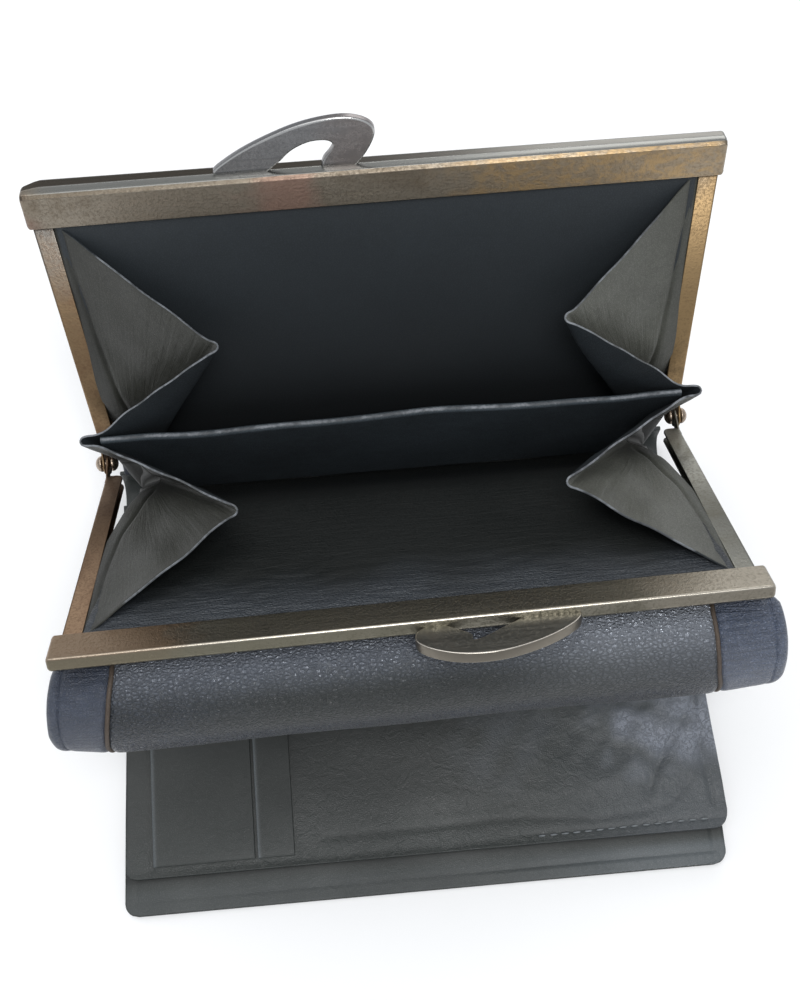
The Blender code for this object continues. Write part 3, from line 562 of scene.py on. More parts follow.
def material(name):
    """The named finish, made from the panel's colours the first time it is asked for."""
    hide, plate = bpy.context.scene.wallet_leather, bpy.context.scene.wallet_metal
    rim, grain, lining = tuple(hide.rim_color), hide.grain, hide.lining_color
    gusset = {"crease": 1.2, "fan": 0.035, "rim": rim, "contrast": 0.35}
    side = (1, 1.5, 1.5)
    makers = {
        # The roll: low is the colour of its painted shade, and the colour after it that of its painted
        # highlight.
        "roll": lambda: leather("grained_navy_leather", hide.panel_color, grain, 0.25, 0.1, 0.32,
                                (0.8, 1.15, 1.15), 0.6, contrast=0.7, low=(0.0095, 0.0125, 0.0108),
                                flat=0.3, highlight_paint=(0.36, 0.385, 0.43), crisp=0.6, glint=0.85),
        # The wings are the panel's leather painted 1.4 and 2.3 times lighter, the right one more, for the
        # light on the sides.
        "wing_left": lambda: leather("left_side_leather", tone(hide.panel_color, 1.4), grain * 0.7, 0.1,
                                     0.22, 0.42, side, 0.5, streak=0.08, shine=0.6),
        "wing_right": lambda: leather("right_side_leather", tone(hide.panel_color, 2.3), grain * 0.9,
                                      0.14, 0.16, 0.4, side, 0.7, streak=0.2, shine=0.8),
        "rear": lambda: leather("rear_navy_leather", hide.panel_color, grain, 0.2, 0.28, 0.55),
        "inside": lambda: leather("lining_leather", lining, grain * 0.6, 0.012, 0.5, 0.7, contrast=0.2),
        # Its low colour is painted shade, deep in the front compartment.
        "front_inside": lambda: leather("front_lining_leather", lining, grain * 0.8, 0.1, 0.22, 0.55,
                                        (0.7, 1.4, 1.4), 0.8, streak=0.12, low=(0.006, 0.0075, 0.0066)),
        "gusset": lambda: leather("gusset_leather", hide.gusset_color, grain * 0.6, 0.02, 0.4, 0.6,
                                  tint=tone(hide.gusset_color, 0.6), **gusset),
        # The right gusset is the gusset leather painted 2.5 times lighter, with a lighter tint, for the
        # light on that side.
        "gusset_right": lambda: leather("right_gusset_leather", tone(hide.gusset_color, 2.5), grain * 0.6,
                                        0.02, 0.4, 0.6, tint=tone(hide.gusset_color, 1.4), **gusset),
        "gusset_back": lambda: leather("gusset_back_leather", lining, grain * 0.6, 0.02, 0.5, 0.72,
                                       rim=rim),
        # The divider is the lining leather painted 2.2 times lighter, as painted light inside the purse.
        "divider": lambda: leather("divider_leather", tone(lining, 2.2), grain * 0.6, 0.03, 0.5, 0.7,
                                   rim=rim),
        # In the billfold and its note panel the last colour is that of a painted sheen.
        "billfold": lambda: leather("billfold_leather", hide.billfold_color, grain * 0.5, 0.02, 0.36, 0.56,
                                    crease=1.0, contrast=0.25, highlight_paint=(0.13, 0.148, 0.16)),
        "crinkled": lambda: leather("billfold_panel_leather", hide.billfold_color, grain * 0.55, 0.03,
                                    0.26, 0.5, crease=1.2, contrast=0.25, cracks=0.07,
                                    highlight_paint=(0.25, 0.272, 0.32)),
        "welt": lambda: leather("welt_leather", hide.welt_color, grain * 0.4, 0.04, 0.45, 0.7),
        "thread": lambda: plain("thread", (0.16, 0.175, 0.185), 0.5),
        "cord": lambda: plain("paper_cord", (0.35, 0.28, 0.19), 0.9),
        # The bars' top colours are painted highlights, and their dark marks paint shade with the tarnish
        # colour.
        "rear_bar": lambda: metal("rear_bar_metal", plate.bar_color, tone(plate.tarnish_color, 1.4), 0.4,
                                  gold=(0.006, 0.05, plate.gold_color), top=(0.27, 0.268, 0.25),
                                  patches=((-0.022, -0.011, (0.4, 0.24, 0.19), 0.65),
                                           (-0.07, -0.0555, (0.2, 0.09, 0.07), 0.5))),
        "front_bar": lambda: metal("front_bar_metal", (0.27, 0.25, 0.205), (0.12, 0.112, 0.082), 0.8,
                                   pits=0.018, speck=0.75, top=(0.52, 0.48, 0.41), shade_factor=1.7,
                                   patches=((-0.06, -0.036, (0.26, 0.165, 0.095), 0.7),
                                            (0.03, 0.06, plate.bar_color, 0.5))),
        "rear_arm_left": lambda: metal("rear_left_arm_metal", (0.27, 0.185, 0.105), (0.17, 0.10, 0.06),
                                       0.5, 0.36, fade=(0.056, 0.078, (0.17, 0.165, 0.155))),
        "rear_arm_right": lambda: metal("rear_right_arm_metal", (0.33, 0.225, 0.115), (0.2, 0.14, 0.08),
                                        0.45, 0.4, fade=(0.07, 0.084, (0.24, 0.2, 0.15))),
        "front_arm_left": lambda: metal("front_left_arm_metal", (0.17, 0.115, 0.075), (0.1, 0.06, 0.04),
                                        0.5, 0.34),
        "front_arm_right": lambda: metal("front_right_arm_metal", (0.215, 0.213, 0.19),
                                         (0.13, 0.12, 0.09), 0.45, 0.34),
        # The fingers' top colours are painted highlights, and the front finger's dark mark paints shading
        # on its side.
        "rear_finger": lambda: metal("finger_metal", plate.finger_color, tone(plate.finger_color, 0.7),
                                     0.4, 0.24, 0.0, top=(0.6, 0.6, 0.59), speck=0.0,
                                     patches=((-0.009, 0.004, (0.26, 0.2, 0.175), 0.3),)),
        "front_finger": lambda: metal("front_finger_metal", (0.23, 0.225, 0.2), (0.15, 0.135, 0.112), 0.4,
                                      0.3, 0.003, top=(0.7, 0.65, 0.58), shade_factor=1.4, speck=0.1),
        "rivet": lambda: metal("rivet_metal", plate.rivet_color, plate.tarnish_color, 0.3, 0.25, 0.003),
    }
    if name not in MATERIALS:
        MATERIALS[name] = makers[name]()
    return MATERIALS[name]


def settle(piece, body, slot, *nodes):
    """The piece rides on one body and stands for the CAD nodes; the slot is not used."""
    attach(piece, body)
    if nodes:
        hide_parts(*nodes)


def bend(piece, a, b, start, end, slot, *nodes):
    """The piece's transform is baked into its mesh and the CAD nodes are hidden; the bodies a and b, start
    and end are not used.
    """
    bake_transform(piece)
    if nodes:
        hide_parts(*nodes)


def bend_half(piece, half, *nodes):
    """A navy piece by a frame half, handed to bend with start and end at 4 and 26 mm of that half's reach.
    """
    start, end = in_half(half, mm([[0, 0, 4], [0, 0, 26]]))
    bend(piece, "purse", half + "_frame", start, end, "leather_navy", *nodes)


# the metal frame

# Sections are given in millimetres of (out, reach) of a frame half.
SECTION_MIDDLE, SECTION_HALF = np.array([1.45, 54.5]), np.array([1.25, 2.9])
BAR_SKINS = {
    "rear": round_outline([(0.2, 51.6), (0.2, 56.95), (0.68, 57.38), (0.74, 57.44), (1.25, 57.58),
                           (1.66, 57.54), (1.72, 57.5), (2.7, 57.46), (2.7, 51.6)],
                          [0.15, 0.1, 0.03, 0.05, 0.3, 0.03, 0.03, 0.2, 0.15]),
    "front": round_outline([(0.2, 51.6), (0.2, 57.4), (2.2, 57.36), (2.7, 56.9), (2.7, 51.6)],
                           [0.15, 0.36, 0.25, 0.2, 0.15], 9)}
BAR_FOOT = 51.6
BAR_HOLLOW = np.array([(2.35, BAR_FOOT), (2.35, 56.8), (0.55, 56.8), (0.55, BAR_FOOT)])
END_RADIUS = 0.55


def bar_rings(half):
    """A bar's channel section, carried along x, with its ends rounded and closed, and its two marks.

    The marks paint light and shade: the rear bar has painted shade on a bevel above its inner face and on
    a band along its back, and a painted highlight on its top; the front bar has one wide round edge, with
    a painted highlight along it and painted shade on its top at the left. At depth d from an end the
    section shrinks by r - sqrt(r^2 - (r - d)^2).
    The rear bar's back stands out by 1.25 - 0.012 x more, in millimetres, drawn in again over the last
    three at the left, and the channel is filled near both ends.
    """
    skin = BAR_SKINS[half]
    out, reach = skin.T
    # The dark mark is painted shade and the bright one, the top mark, a painted highlight.
    if half == "rear":
        dark = 0.62 * ((reach > 56.95) & (out < 0.71)) + 0.92 * (out > 1.69)
        dark *= reach > 56.9
        bright = (reach > 57.2) & (out > 0.7)
    else:
        bright = ridge(np.hypot(out - 0.3, reach - 57.3), 0.2)
        dark = 0.75 * ((out > 0.5) & (reach > 56.5))
    depth = END_RADIUS * (1 - np.cos(np.linspace(0, pi / 2, 7)))
    inset = END_RADIUS - np.sqrt(np.maximum(END_RADIUS**2 - (END_RADIUS - depth) ** 2, 0))
    inner_depth = [1.2, 2.0, 2.8, 3.3, 3.35, 6, 16, 28, 40]
    end = []
    for d, shrink in zip([*depth, *inner_depth], [*inset, *[0] * len(inner_depth)]):
        ring = (skin - SECTION_MIDDLE) * (1 - shrink / SECTION_HALF) + SECTION_MIDDLE
        rise = (BAR_HOLLOW[:, 1] - BAR_FOOT) * (d > 3.3)
        ring = np.concatenate([ring, np.stack([BAR_HOLLOW[:, 0], ring[0, 1] + rise], 1)])
        end.append(np.column_stack([np.full(len(ring), -HALF_WIDTH * 1000 + d), ring]))
    end = np.array(end)
    rings = np.concatenate([end, (end * [-1, 1, 1])[::-1]])
    dark, bright = (np.append(values, np.zeros(4))[None, :] for values in (dark, bright))
    x = rings[..., 0]
    if half == "rear":
        more = (1.25 - 0.012 * x) * (rings[..., 2] > 51) * smooth_step(x, -HALF_WIDTH * 1000 - 0.8, -49.6)
        rings[..., 1] += more * (rings[..., 1] - 0.9).clip(0, None) / 1.8
        # Painted shade that weakens to the right, and a painted highlight that stops short of the left end.
        dark = dark * (1 - 0.55 * smooth_step(x, -10, 30))
        bright = bright * smooth_step(x, -52, -48)
    else:
        # A painted highlight that grows to the right, and painted shade only at the left.
        bright = bright * (0.35 + 0.65 * smooth_step(x, -45, -10))
        dark = dark * (1 - smooth_step(x, -20, 10))
    return in_half(half, rings / 1000), {"dark": dark, "top": bright}


def make_bars():
    """The two bars, and the paper cord along each channel."""
    for half in ("rear", "front"):
        rings, marks = bar_rings(half)
        piece = swept_piece(half + "_bar_plated", rings, material(half + "_bar"), marks)
        settle(piece, half + "_frame", "metal", half + "_bar")
        line = np.broadcast_arrays(np.linspace(-0.045, 0.045, 40), 0.00145, 0.056)
        line = in_half(half, np.stack(line, 1))
        piece = swept_piece(half + "_paper_cord", tube(line, 0.0004), material("cord"))
        settle(piece, half + "_frame", "cord", half + "_channel_cord")


def ring_at(outline, axis, level):
    """A ring in (x, out, reach) from an outline of two of them, with the level as the one named by axis."""
    return np.insert(outline, axis, level, axis=1)


def make_arms():
    """Channels open towards the middle: a U of sheet carried along the reach from a narrow foot, a flat
    eye round the rivet and a tongue into the bar."""
    turn = np.linspace(radians(128), radians(402), 22)
    eye = np.stack([1.9 * np.cos(turn), 1.9 * np.sin(turn)], 1)
    eye = np.concatenate([eye, [(2.55, 4.0), (2.55, 6.0), (0.7, 6.0), (0.7, 4.2)]])
    eye_middle, sheet = np.array([0.8, 2]), 0.35
    for half, outer in (("rear", 52.05), ("front", 51.35)):
        channel = []
        for reach, wide in ((3.6, 2.0), (3.75, 2.5), (4.1, 2.8), (4.7, 3.0), (51.3, 3.0)):
            inner = outer - wide
            loop = round_outline([(inner, 0.65), (outer, 0.65), (outer, 2.7), (inner, 2.7),
                                  (inner, 2.7 - sheet), (outer - sheet, 2.7 - sheet),
                                  (outer - sheet, 0.65 + sheet), (inner, 0.65 + sheet)],
                                 [0.1, 0.3, 0.3, 0.1, 0.1, 0.08, 0.08, 0.1], 4)
            channel.append(ring_at(loop, 2, reach))
        plate = [ring_at((eye - eye_middle) * size + eye_middle, 0, outer - depth) for depth, size in (
            (0, 0.93), (0.04, 0.98), (0.1, 1), (0.25, 1), (0.31, 0.98), (sheet, 0.93))]
        tongue = round_outline([(outer - 0.3, 1.1), (outer - 0.02, 1.1), (outer - 0.02, 2.2),
                                (outer - 0.3, 2.2)], 0.05, 3)
        tongue = [ring_at(tongue, 2, reach) for reach in (50.5, 56.6)]
        for hand, label in ((-1, "left"), (1, "right")):
            flip = mm([hand, 1, 1])
            parts = [in_half(half, np.array(part) * flip) for part in (channel, plate, tongue)]
            piece = joined_piece(f"{half}_arm_plated_{label}", parts, material(f"{half}_arm_{label}"))
            settle(piece, half + "_frame", "metal", f"{half}_arm_{label}")


def make_rivets():
    """Each rivet is its profile turned round the x axis: a domed head, the shank and a second head."""
    for hand, label in ((-1, "left"), (1, "right")):
        low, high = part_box("hinge_rivet_" + label)
        inner, outer = sorted(abs(np.array([low[0], high[0]]) * 1000))
        angle = np.linspace(0, pi / 2, 8)
        head_x, head_r = 1.15 * (1 - np.cos(angle)), 1.45 * np.sin(angle)
        under, neck, shank = 1.2, 1.3, 0.72
        x = np.concatenate([inner + head_x, [inner + under] * 2, [outer - under] * 2, outer - head_x[::-1]])
        r = np.concatenate([head_r, [neck, shank, shank, neck], head_r[::-1]]).clip(0.02, None)
        turn = np.arange(28) * 2 * pi / 28
        y, z = RIVET[:, None, None] * 1000 + r[:, None] * np.stack([np.cos(turn), np.sin(turn)])[:, None]
        rings = np.stack([np.broadcast_to(x[:, None] * hand, y.shape), y, z], -1) / 1000
        piece = swept_piece("rivet_domed_" + label, rings, material("rivet"))
        settle(piece, "purse", "metal", "hinge_rivet_" + label)


# Each finger's outer and inner outline, from foot to foot, in millimetres along and above its bar.
REAR_FINGER = ([(23.2, -0.15), (24.1, 0.5), (22.9, 1.6), (19.3, 3.9), (15.2, 5.8), (11.1, 7.35),
                (7.2, 8.15), (3.7, 8.35), (1.2, 7.7), (-0.3, 6.6), (-0.6, 5.2), (0.3, 3.0), (1.9, 0.7),
                (2.7, -0.15)],
               [(15.9, -0.15), (15.0, 0.7), (13.6, 1.7), (12.7, 2.7), (11.3, 3.7), (9.1, 4.6), (6.7, 4.65),
                (5.6, 3.9), (6.3, 2.6), (7.5, 1.4), (7.8, -0.15)])
FRONT_FINGER = ([(23.6, -0.15), (24.0, 0.4), (22.6, 2.4), (18.4, 5.2), (13.2, 7.1), (9.2, 7.5), (5.4, 7.0),
                 (2.6, 5.8), (0.6, 4.4), (-0.4, 3.0), (-0.4, 1.4), (0.5, 0.2), (1.6, -0.15)],
                [(15.3, -0.15), (14.1, 0.55), (11.75, 2.0), (9.8, 3.3), (8.5, 4.0), (7.5, 3.9), (7.9, 3.1),
                 (7.4, 2.2), (6.3, 1.4), (5.0, 0.5), (4.2, -0.15)])


# The half, the hand, the outlines, the middle's place out, the bevel's radius and half the thickness.
FINGERS = (("rear", -1, REAR_FINGER, 2.45, 0.3, 0.65), ("front", 1, FRONT_FINGER, 2.15, 0.16, 0.85))


def make_fingers():
    """Each clasp finger is a rounded section from its outer to its inner outline, carried from foot to
    foot: the local width and half the finger's thickness. A painted highlight makes its bevels lighter
    than the flat face, and the front finger's outer edge band has painted shading."""
    turn, stations = np.linspace(0, pi / 2, 6), 120
    for half, hand, outlines, middle, corner, thick in FINGERS:
        bow = corner * (1 - np.cos(turn))
        high = thick - corner * (1 - np.sin(turn))
        share = np.concatenate([np.zeros(8), [0.5], np.ones(8)])
        rest = np.array([corner * 1.25, corner * 1.9])
        offset = np.concatenate([bow, rest, [0], -rest[::-1], -bow[::-1]])
        level = np.concatenate([high, [thick] * 5, high[::-1]])
        # Painted highlight on the bevels, and painted shading on the front finger's outer edge band.
        bright = np.concatenate([[0, 0, 0.6, 1, 1, 0.7], np.zeros(11)])
        bright = np.maximum(bright, bright[::-1] * 0.5)
        side = np.concatenate([[1, 1, 0.3], np.zeros(14)]) * (half == "front")
        share, offset, bright, side = (np.append(v, v[::-1]) for v in (share, offset, bright, side))
        level = np.append(level, -level[::-1])
        outer, inner = (resample(soften(line, 3), stations) for line in outlines)
        wide = np.linalg.norm(inner - outer, axis=1)
        along = (inner - outer) / wide[:, None]
        spot = outer[:, None] + (share * wide[:, None] + offset)[..., None] * along[:, None]
        placed = np.stack([hand * (0.2 + spot[..., 0]), middle + np.broadcast_to(level, spot.shape[:2]),
                           57.4 + spot[..., 1]], -1)
        marks = {"top": np.tile(bright, (stations, 1)), "dark": np.tile(side, (stations, 1))}
        piece = swept_piece(half + "_finger_plated", in_half(half, placed / 1000),
                            material(half + "_finger"), marks)
        settle(piece, half + "_frame", "metal", half + "_clasp_finger")


# the purse's leather

def wall_grid(half, top, below, count, widths, columns):
    """A wall of the purse: a path of (y, z) from places (out, reach) of a frame half down through the
    places below, softened, and spread along x. Its half width at a height goes through (z, half width).
    All are in millimetres."""
    path = np.concatenate([half_point(half, *mm(top).T), mm(below)])
    path = resample(soften(path, 2), count)
    wide = np.interp(path[:, 1], *mm(widths).T)
    return across(path, -wide, wide, columns), wide


def make_rear():
    """The rear wall, which hangs loose below the bar with a crease beside its seams, and its lining."""
    grid, wide = wall_grid("rear", [(1.9, 55), (1.9, 50), (1.9, 40), (1.9, 28), (1.9, 18)],
                           [(43.1, 38), (42.7, 30), (42.2, 20), (41.7, 11), (41.45, 6.5)], 100,
                           [(6, 52.8), (12, 52), (24, 51.6), (28.5, 50.4), (35, 47.6), (41, 47.7),
                            (46, 50.4)], close_to_ends(70))
    hang = smooth_step(grid[..., 2], 0.008, 0.02) * (1 - smooth_step(grid[..., 2], 0.045, 0.07))
    side = wide[:, None] - np.abs(grid[..., 0])
    grid = push(grid, ripples(grid, 3, 0.03, 0.0003) * hang - 0.0003 * ridge(side - 0.0015, 0.0004) * hang)
    grid[..., 1] += hang * np.cos(grid[..., 0] / 0.11 * pi) * 0.0008
    piece = sheet_piece("rear_wall", grid, 0.0007, material("rear"))
    bend_half(piece, "rear", "rear_wall_lower", "rear_wall_upper")
    grid, _ = wall_grid("rear", [(1.15, 54), (1.1, 51.5), (0.8, 48), (0.75, 40), (0.75, 28), (0.75, 18)],
                        [(41.7, 38), (40.8, 30), (39.6, 20), (38.7, 12), (38.4, 9)], 90,
                        [(9, 47.0), (38, 46.9), (46, 47.5), (70, 48.7)], 70)
    grid = push(grid, ripples(grid, 5, 0.025, 0.0001) * smooth_step(grid[..., 2], 0.02, 0.04))
    # Painted shade: the lining darkens towards the bottom of the compartment.
    low = 0.85 * (1 - smooth_step(grid[..., 2], 0.03, 0.076))
    piece = sheet_piece("rear_lining", grid, 0.0004, material("inside"), {"dark": low})
    bend_half(piece, "rear", "rear_lining_lower", "rear_lining_upper")


def make_front_lining():
    """The front compartment's lining, which swells a little and is gathered just below the bar."""
    grid, _ = wall_grid("front", [(1.2, 54.5), (1.1, 52), (0.6, 49.5), (0.3, 46.5), (0.45, 42), (0.7, 34),
                                  (0.75, 19)],
                        [(23.2, 36.5), (26.6, 29), (30.7, 20), (34.6, 11.5), (36.3, 8.2), (37.3, 6.6)], 110,
                        [(9, 47.0), (38, 46.7), (56, 47.2), (63, 48.6)], 100)
    grid = askew(grid)
    near_bar = smooth_step(grid[..., 2], 0.048, 0.056)
    waves = np.sin(grid[..., 1] * 2 * pi / 0.0026 + ripples(grid, 8, 0.012, 2.2) * 2)
    grid = push(grid, ripples(grid, 7, 0.02, 0.00016) + waves * 0.00007 * near_bar)
    near_bar = smooth_step(grid[..., 2] + ripples(grid, 6, 0.02, 0.002), 0.053, 0.0612)
    # Painted light: shade away from the bar, and a highlight near it.
    piece = sheet_piece("front_lining", grid, 0.0004, material("front_inside"),
                        {"dark": 0.95 * (1 - near_bar), "pale": 0.4 * near_bar})
    bend_half(piece, "front", "front_lining_lower", "front_lining_upper")


def make_divider():
    """One leather folded over at the top: down one side, round the fold, down the other. It waves a
    little where it is free, and is narrower below its top."""
    lean = np.array([-sin(PURSE_LEAN), cos(PURSE_LEAN)])
    out = np.array([cos(PURSE_LEAN), sin(PURSE_LEAN)])
    turn = np.linspace(0, pi, 9)
    top, radius = 0.0384, 0.00042
    rise = np.append(np.linspace(0.0045, top - 0.002, 34), np.linspace(top - 0.0016, top - 0.0002, 8))
    one = np.stack([np.full(len(rise), radius), rise], 1)
    fold = np.stack([radius * np.cos(turn), top + radius * np.sin(turn)], 1)
    profile = np.concatenate([one, fold, one[::-1] * [-1, 1]])
    path = SPINE + profile[:, :1] * out + profile[:, 1:] * lean
    grid = across(path, -0.0495, 0.0495, 110)
    x = grid[..., 0]
    height = smooth_step(grid[..., 2], 0.02, 0.042) * (1 - smooth_step(np.abs(x), 0.036, 0.0455))
    grid[..., 1] += (np.sin(x * 95 + 0.8) * 0.0003 + np.sin(x * 230) * 0.00014) * height
    grid[..., 2] += (np.sin(x * 60 + 2) * 0.0002 + ripples(grid, 9, 0.01, 0.00008)) * height
    grid[..., 0] *= 1 - 0.045 * (1 - smooth_step(grid[..., 2], 0.033, 0.041))
    fall = (top + radius - profile[:, 1])[:, None] + 0.0002 * (profile[:, :1] < -0.0003)
    piece = sheet_piece("divider_leather", grid, 0.0004, material("divider"),
                        {"rim": np.broadcast_to(fall, grid.shape[:2])})
    settle(piece, "purse", "leather_navy", "divider")


# Lines up a gusset: millimetres of the world below the rivets, then (x, out, reach) of a frame half,
# except the fold, which stays in the world's and ends at the apex, with x for the left and the right.
ROWS_LOW, ROWS_HIGH = 16, 56
GUSSETS = {
    "rear": {"sign": 1, "apex": (26.6, 28.0), "apex_place": (40.2, 62.2),
             "edge": ([(48.6, 38.2, 12.5), (49.2, 39.3, 20), (49.2, 41.0, 31)],
                      [(49.3, 0.6, 13.8), (49.5, 0.9, 21), (50, 1.4, 29), (50, 1.5, 40), (50, 1.5, 51.5)]),
             "inner": ([(47.9, 37.9, 12.5), (47.7, 38.7, 20), (47.9, 40.2, 31)],
                       [(47.6, -0.2, 14.8), (47.8, -0.2, 21), (48.1, 0.3, 29), (48.2, 0.6, 40),
                        (48.4, 0.9, 51.5)]),
             "fold": ([(48.1, 37.5, 12.5), (46.0, 37.7, 20), (41.4, 38.0, 31)],
                      [(36.5, 38.7, 42), (31.2, 39.5, 53)])},
    "front": {"sign": -1, "apex": (25.4, 25.6), "apex_place": (14.7, 57.1),
              "edge": ([(48.1, 34.4, 12.5), (47.4, 31.6, 20), (46.0, 27.2, 31)],
                       [(45.8, 0.2, 15.8), (47.4, 0.8, 22), (49.3, 1.4, 30), (49.4, 1.5, 42),
                        (49.4, 1.5, 51.8)]),
              "inner": ([(48.0, 34.8, 12.5), (47.0, 32.2, 20), (45.3, 28.0, 31)],
                        [(44.8, -0.3, 15.8), (46.2, -0.1, 22), (47.4, 0.3, 30), (47.5, 0.6, 42),
                         (48.0, 0.9, 51.8)]),
              "fold": ([(48.1, 35.6, 12.5), (46.0, 33.8, 20), (41.2, 30.5, 31)],
                       [(35.6, 25.4, 40), (30.4, 20.2, 49)])}}


def gusset_line(low, high):
    """A line up the gusset: a softened part below the rivets and one on from its last place, each of a
    fixed count of rows."""
    lower = resample(soften(mm(low), 2), ROWS_LOW)
    upper = resample(soften(mm([low[-1], *high]), 2), ROWS_HIGH)
    return np.concatenate([lower, upper[1:]])


def on_half(half, hand, points):
    """Millimetre places of a frame half as world millimetres, mirrored to the right if on the left."""
    flip = [hand, 1, 1]
    return in_half(half, mm(points) * flip) * flip * 1000


def nose_line(shift, offset):
    """A line up the gusset's nose: x from the waist out to the tip, at an offset from the divider."""
    heights = np.array([12.5, 20.0, 31.0, 34.0, 37.0, 40.0, 42.7])
    tips = np.array([48.5, 48.6, 48.7, 49.4, 50.6, 51.9, 52.9]) - shift
    line = np.stack([tips, middle_y(heights / 1000) * 1000 + offset, heights], 1)
    return gusset_line(line[:3], line[3:])


def gusset_lines(half, hand):
    """The lines of one side of a gusset, from the arm's channel over the fold to the divider's end."""
    shape = GUSSETS[half]
    sign = shape["sign"]
    edge, inner = (gusset_line(low, on_half(half, hand, high))
                   for low, high in (shape["edge"], shape["inner"]))
    low, high = shape["fold"]
    fold = gusset_line(low, [*high, (shape["apex"][hand > 0], *shape["apex_place"])])
    rise = smooth_step(fold[:, 2], 0.012, 0.026)[:, None]
    near, far = (fold + rise * mm([0.25, side * sign * 0.75, 0.1]) for side in (1, -1))
    near_back, far_back = (fold + rise * mm([1.9, side * sign * 1.35, 0.15]) for side in (1, -1))
    side, corner, tip = nose_line(3.4, sign * 0.95), nose_line(0.35, sign * 0.9), nose_line(0.0, 0.0)
    return edge, inner, near_back, near, fold, far, far_back, side, corner, tip


def gusset_leaf(half, hand, word, grid):
    """A leaf with uneven leather between its sides; the outer one is creased beside the arm."""
    sag = np.sin(np.linspace(0, pi, grid.shape[1]))[None, :]
    amount = ripples(grid, 11, 0.012, 0.0004) * sag * smooth_step(grid[..., 2], 0.03, 0.045)
    if word == "outer":
        rows = len(grid)
        margin = np.interp(np.arange(rows), [0, ROWS_LOW, rows - 8, rows], mm([1, 4.6, 2.4, 1.9]))
        gap = np.linalg.norm(grid[:, :1] - grid, axis=-1)
        groove = ridge(gap - margin[:, None], 0.00045) * smooth_step(grid[..., 2], 0.031, 0.036)
        amount = amount + (1 if half == "rear" else -1) * 0.0004 * groove
    return push(grid, amount) * [hand, 1, 1]


def leaf_marks(word, top):
    """The distance to the free top edge for the worn rim, and painted shade low in the fold and, on an
    outer leaf, beside the arm."""
    steps = np.linalg.norm(np.diff(top, axis=0), axis=-1)
    rim = np.concatenate([np.cumsum(steps[::-1], axis=0)[::-1], np.zeros((1, top.shape[1]))])
    # Painted shade, low in the fold.
    dark = 0.85 * (1 - smooth_step(top[..., 2], 0.033, 0.044))
    if word == "outer":
        place = np.linspace(0, 1, top.shape[1])
        rim = rim + 0.0004 * (1 - smooth_step(place, 0.1, 0.35))
        # Painted shade beside the arm.
        dark = np.maximum(0.45 * (1 - smooth_step(place, 0.02, 0.3)), dark)
    return {"rim": rim, "dark": dark}


def leaf_bend(half, word, apex, way, other):
    """The places handed to bend for a leaf's start and end: on the line through its fold's top end, square
    to the fold, towards the leaf's other end. The outer leaf's end and the inner one's start are 11 mm out."""
    share = 0.5 if half == "rear" else 0.62
    way = way / np.linalg.norm(way)
    axis = other - apex
    axis -= (axis @ way) * way
    axis *= 0.011 / np.linalg.norm(axis)
    if word == "outer":
        return apex - axis * share / (1 - share), apex + axis
    return apex + axis, apex - axis * (1 - share) / share


def make_gusset(label, hand):
    """A W-shaped side wall in five pieces: its foot and, above the rivets, two leaves on each side,
    each lofted through lines that run up the wall."""
    flip = np.array([hand, 1, 1])
    front, behind = material("gusset" if hand < 0 else "gusset_right"), material("gusset_back")
    feet = []
    for half in ("rear", "front"):
        edge, inner, near_back, near, fold, far, far_back, side, corner, tip = gusset_lines(half, hand)
        outer = loft([edge, inner, inner * 0.65 + near_back * 0.35, inner * 0.3 + near_back * 0.7,
                      near_back, near, fold], 70)
        back = loft([fold, far, far_back, far_back * 0.6 + side * 0.4, far_back * 0.2 + side * 0.8,
                     side, corner, tip], 64)
        for word, grid, other in (("outer", outer, edge[-1]), ("inner", back, side[ROWS_LOW + 8])):
            grid = gusset_leaf(half, hand, word, grid)
            feet.append(grid[:ROWS_LOW])
            top = grid[ROWS_LOW - 1:]
            sides = (behind, front) if facing(top)[..., 0].mean() * hand > 0 else (front, behind)
            piece = sheet_piece(f"gusset_{half}_{word}_{label}", top, 0.00035, sides[0],
                                leaf_marks(word, top), 0.2, sides[1])
            start, end = leaf_bend(half, word, fold[-1] * flip, (fold[-1] - fold[ROWS_LOW + 6]) * flip,
                                   other * flip)
            bend(piece, "purse", half + "_frame", start, end, "leather_olive", "gusset_" + label)
    rear_outer, rear_inner, front_outer, front_inner = feet
    foot = np.concatenate([rear_outer, rear_inner[:, 1:], front_inner[:, ::-1][:, 1:],
                           front_outer[:, ::-1][:, 1:]], 1)
    # Painted shade over the whole foot, deep in the purse.
    piece = sheet_piece("gusset_foot_" + label, foot, 0.0005, material("gusset"),
                        {"dark": np.full(foot.shape[:2], 0.85)}, 0.2)
    settle(piece, "purse", "leather_olive", "gusset_" + label)


def panel_path():
    """The outer front panel: inside the bar, under its lip, round an oval and straight to the spine."""
    start = half_point("front", mm([1.7, 1.7, 1.75, 2.6]), mm([55, 52, 50.9, 50.35]))
    middle = half_point("front", 0.0147, 0.0491)
    turn = np.radians(np.linspace(58, 242, 36))
    oval = middle + np.stack([OVAL_DEEP * np.cos(turn), OVAL_HIGH * np.sin(turn)], 1)
    spine = SPINE + np.array([-0.0026, 0.0017])
    straight = oval[-1] + (spine - oval[-1]) * np.linspace(0.05, 1, 14)[:, None]
    return resample(soften(np.concatenate([start, oval, straight]), 1), 170), middle


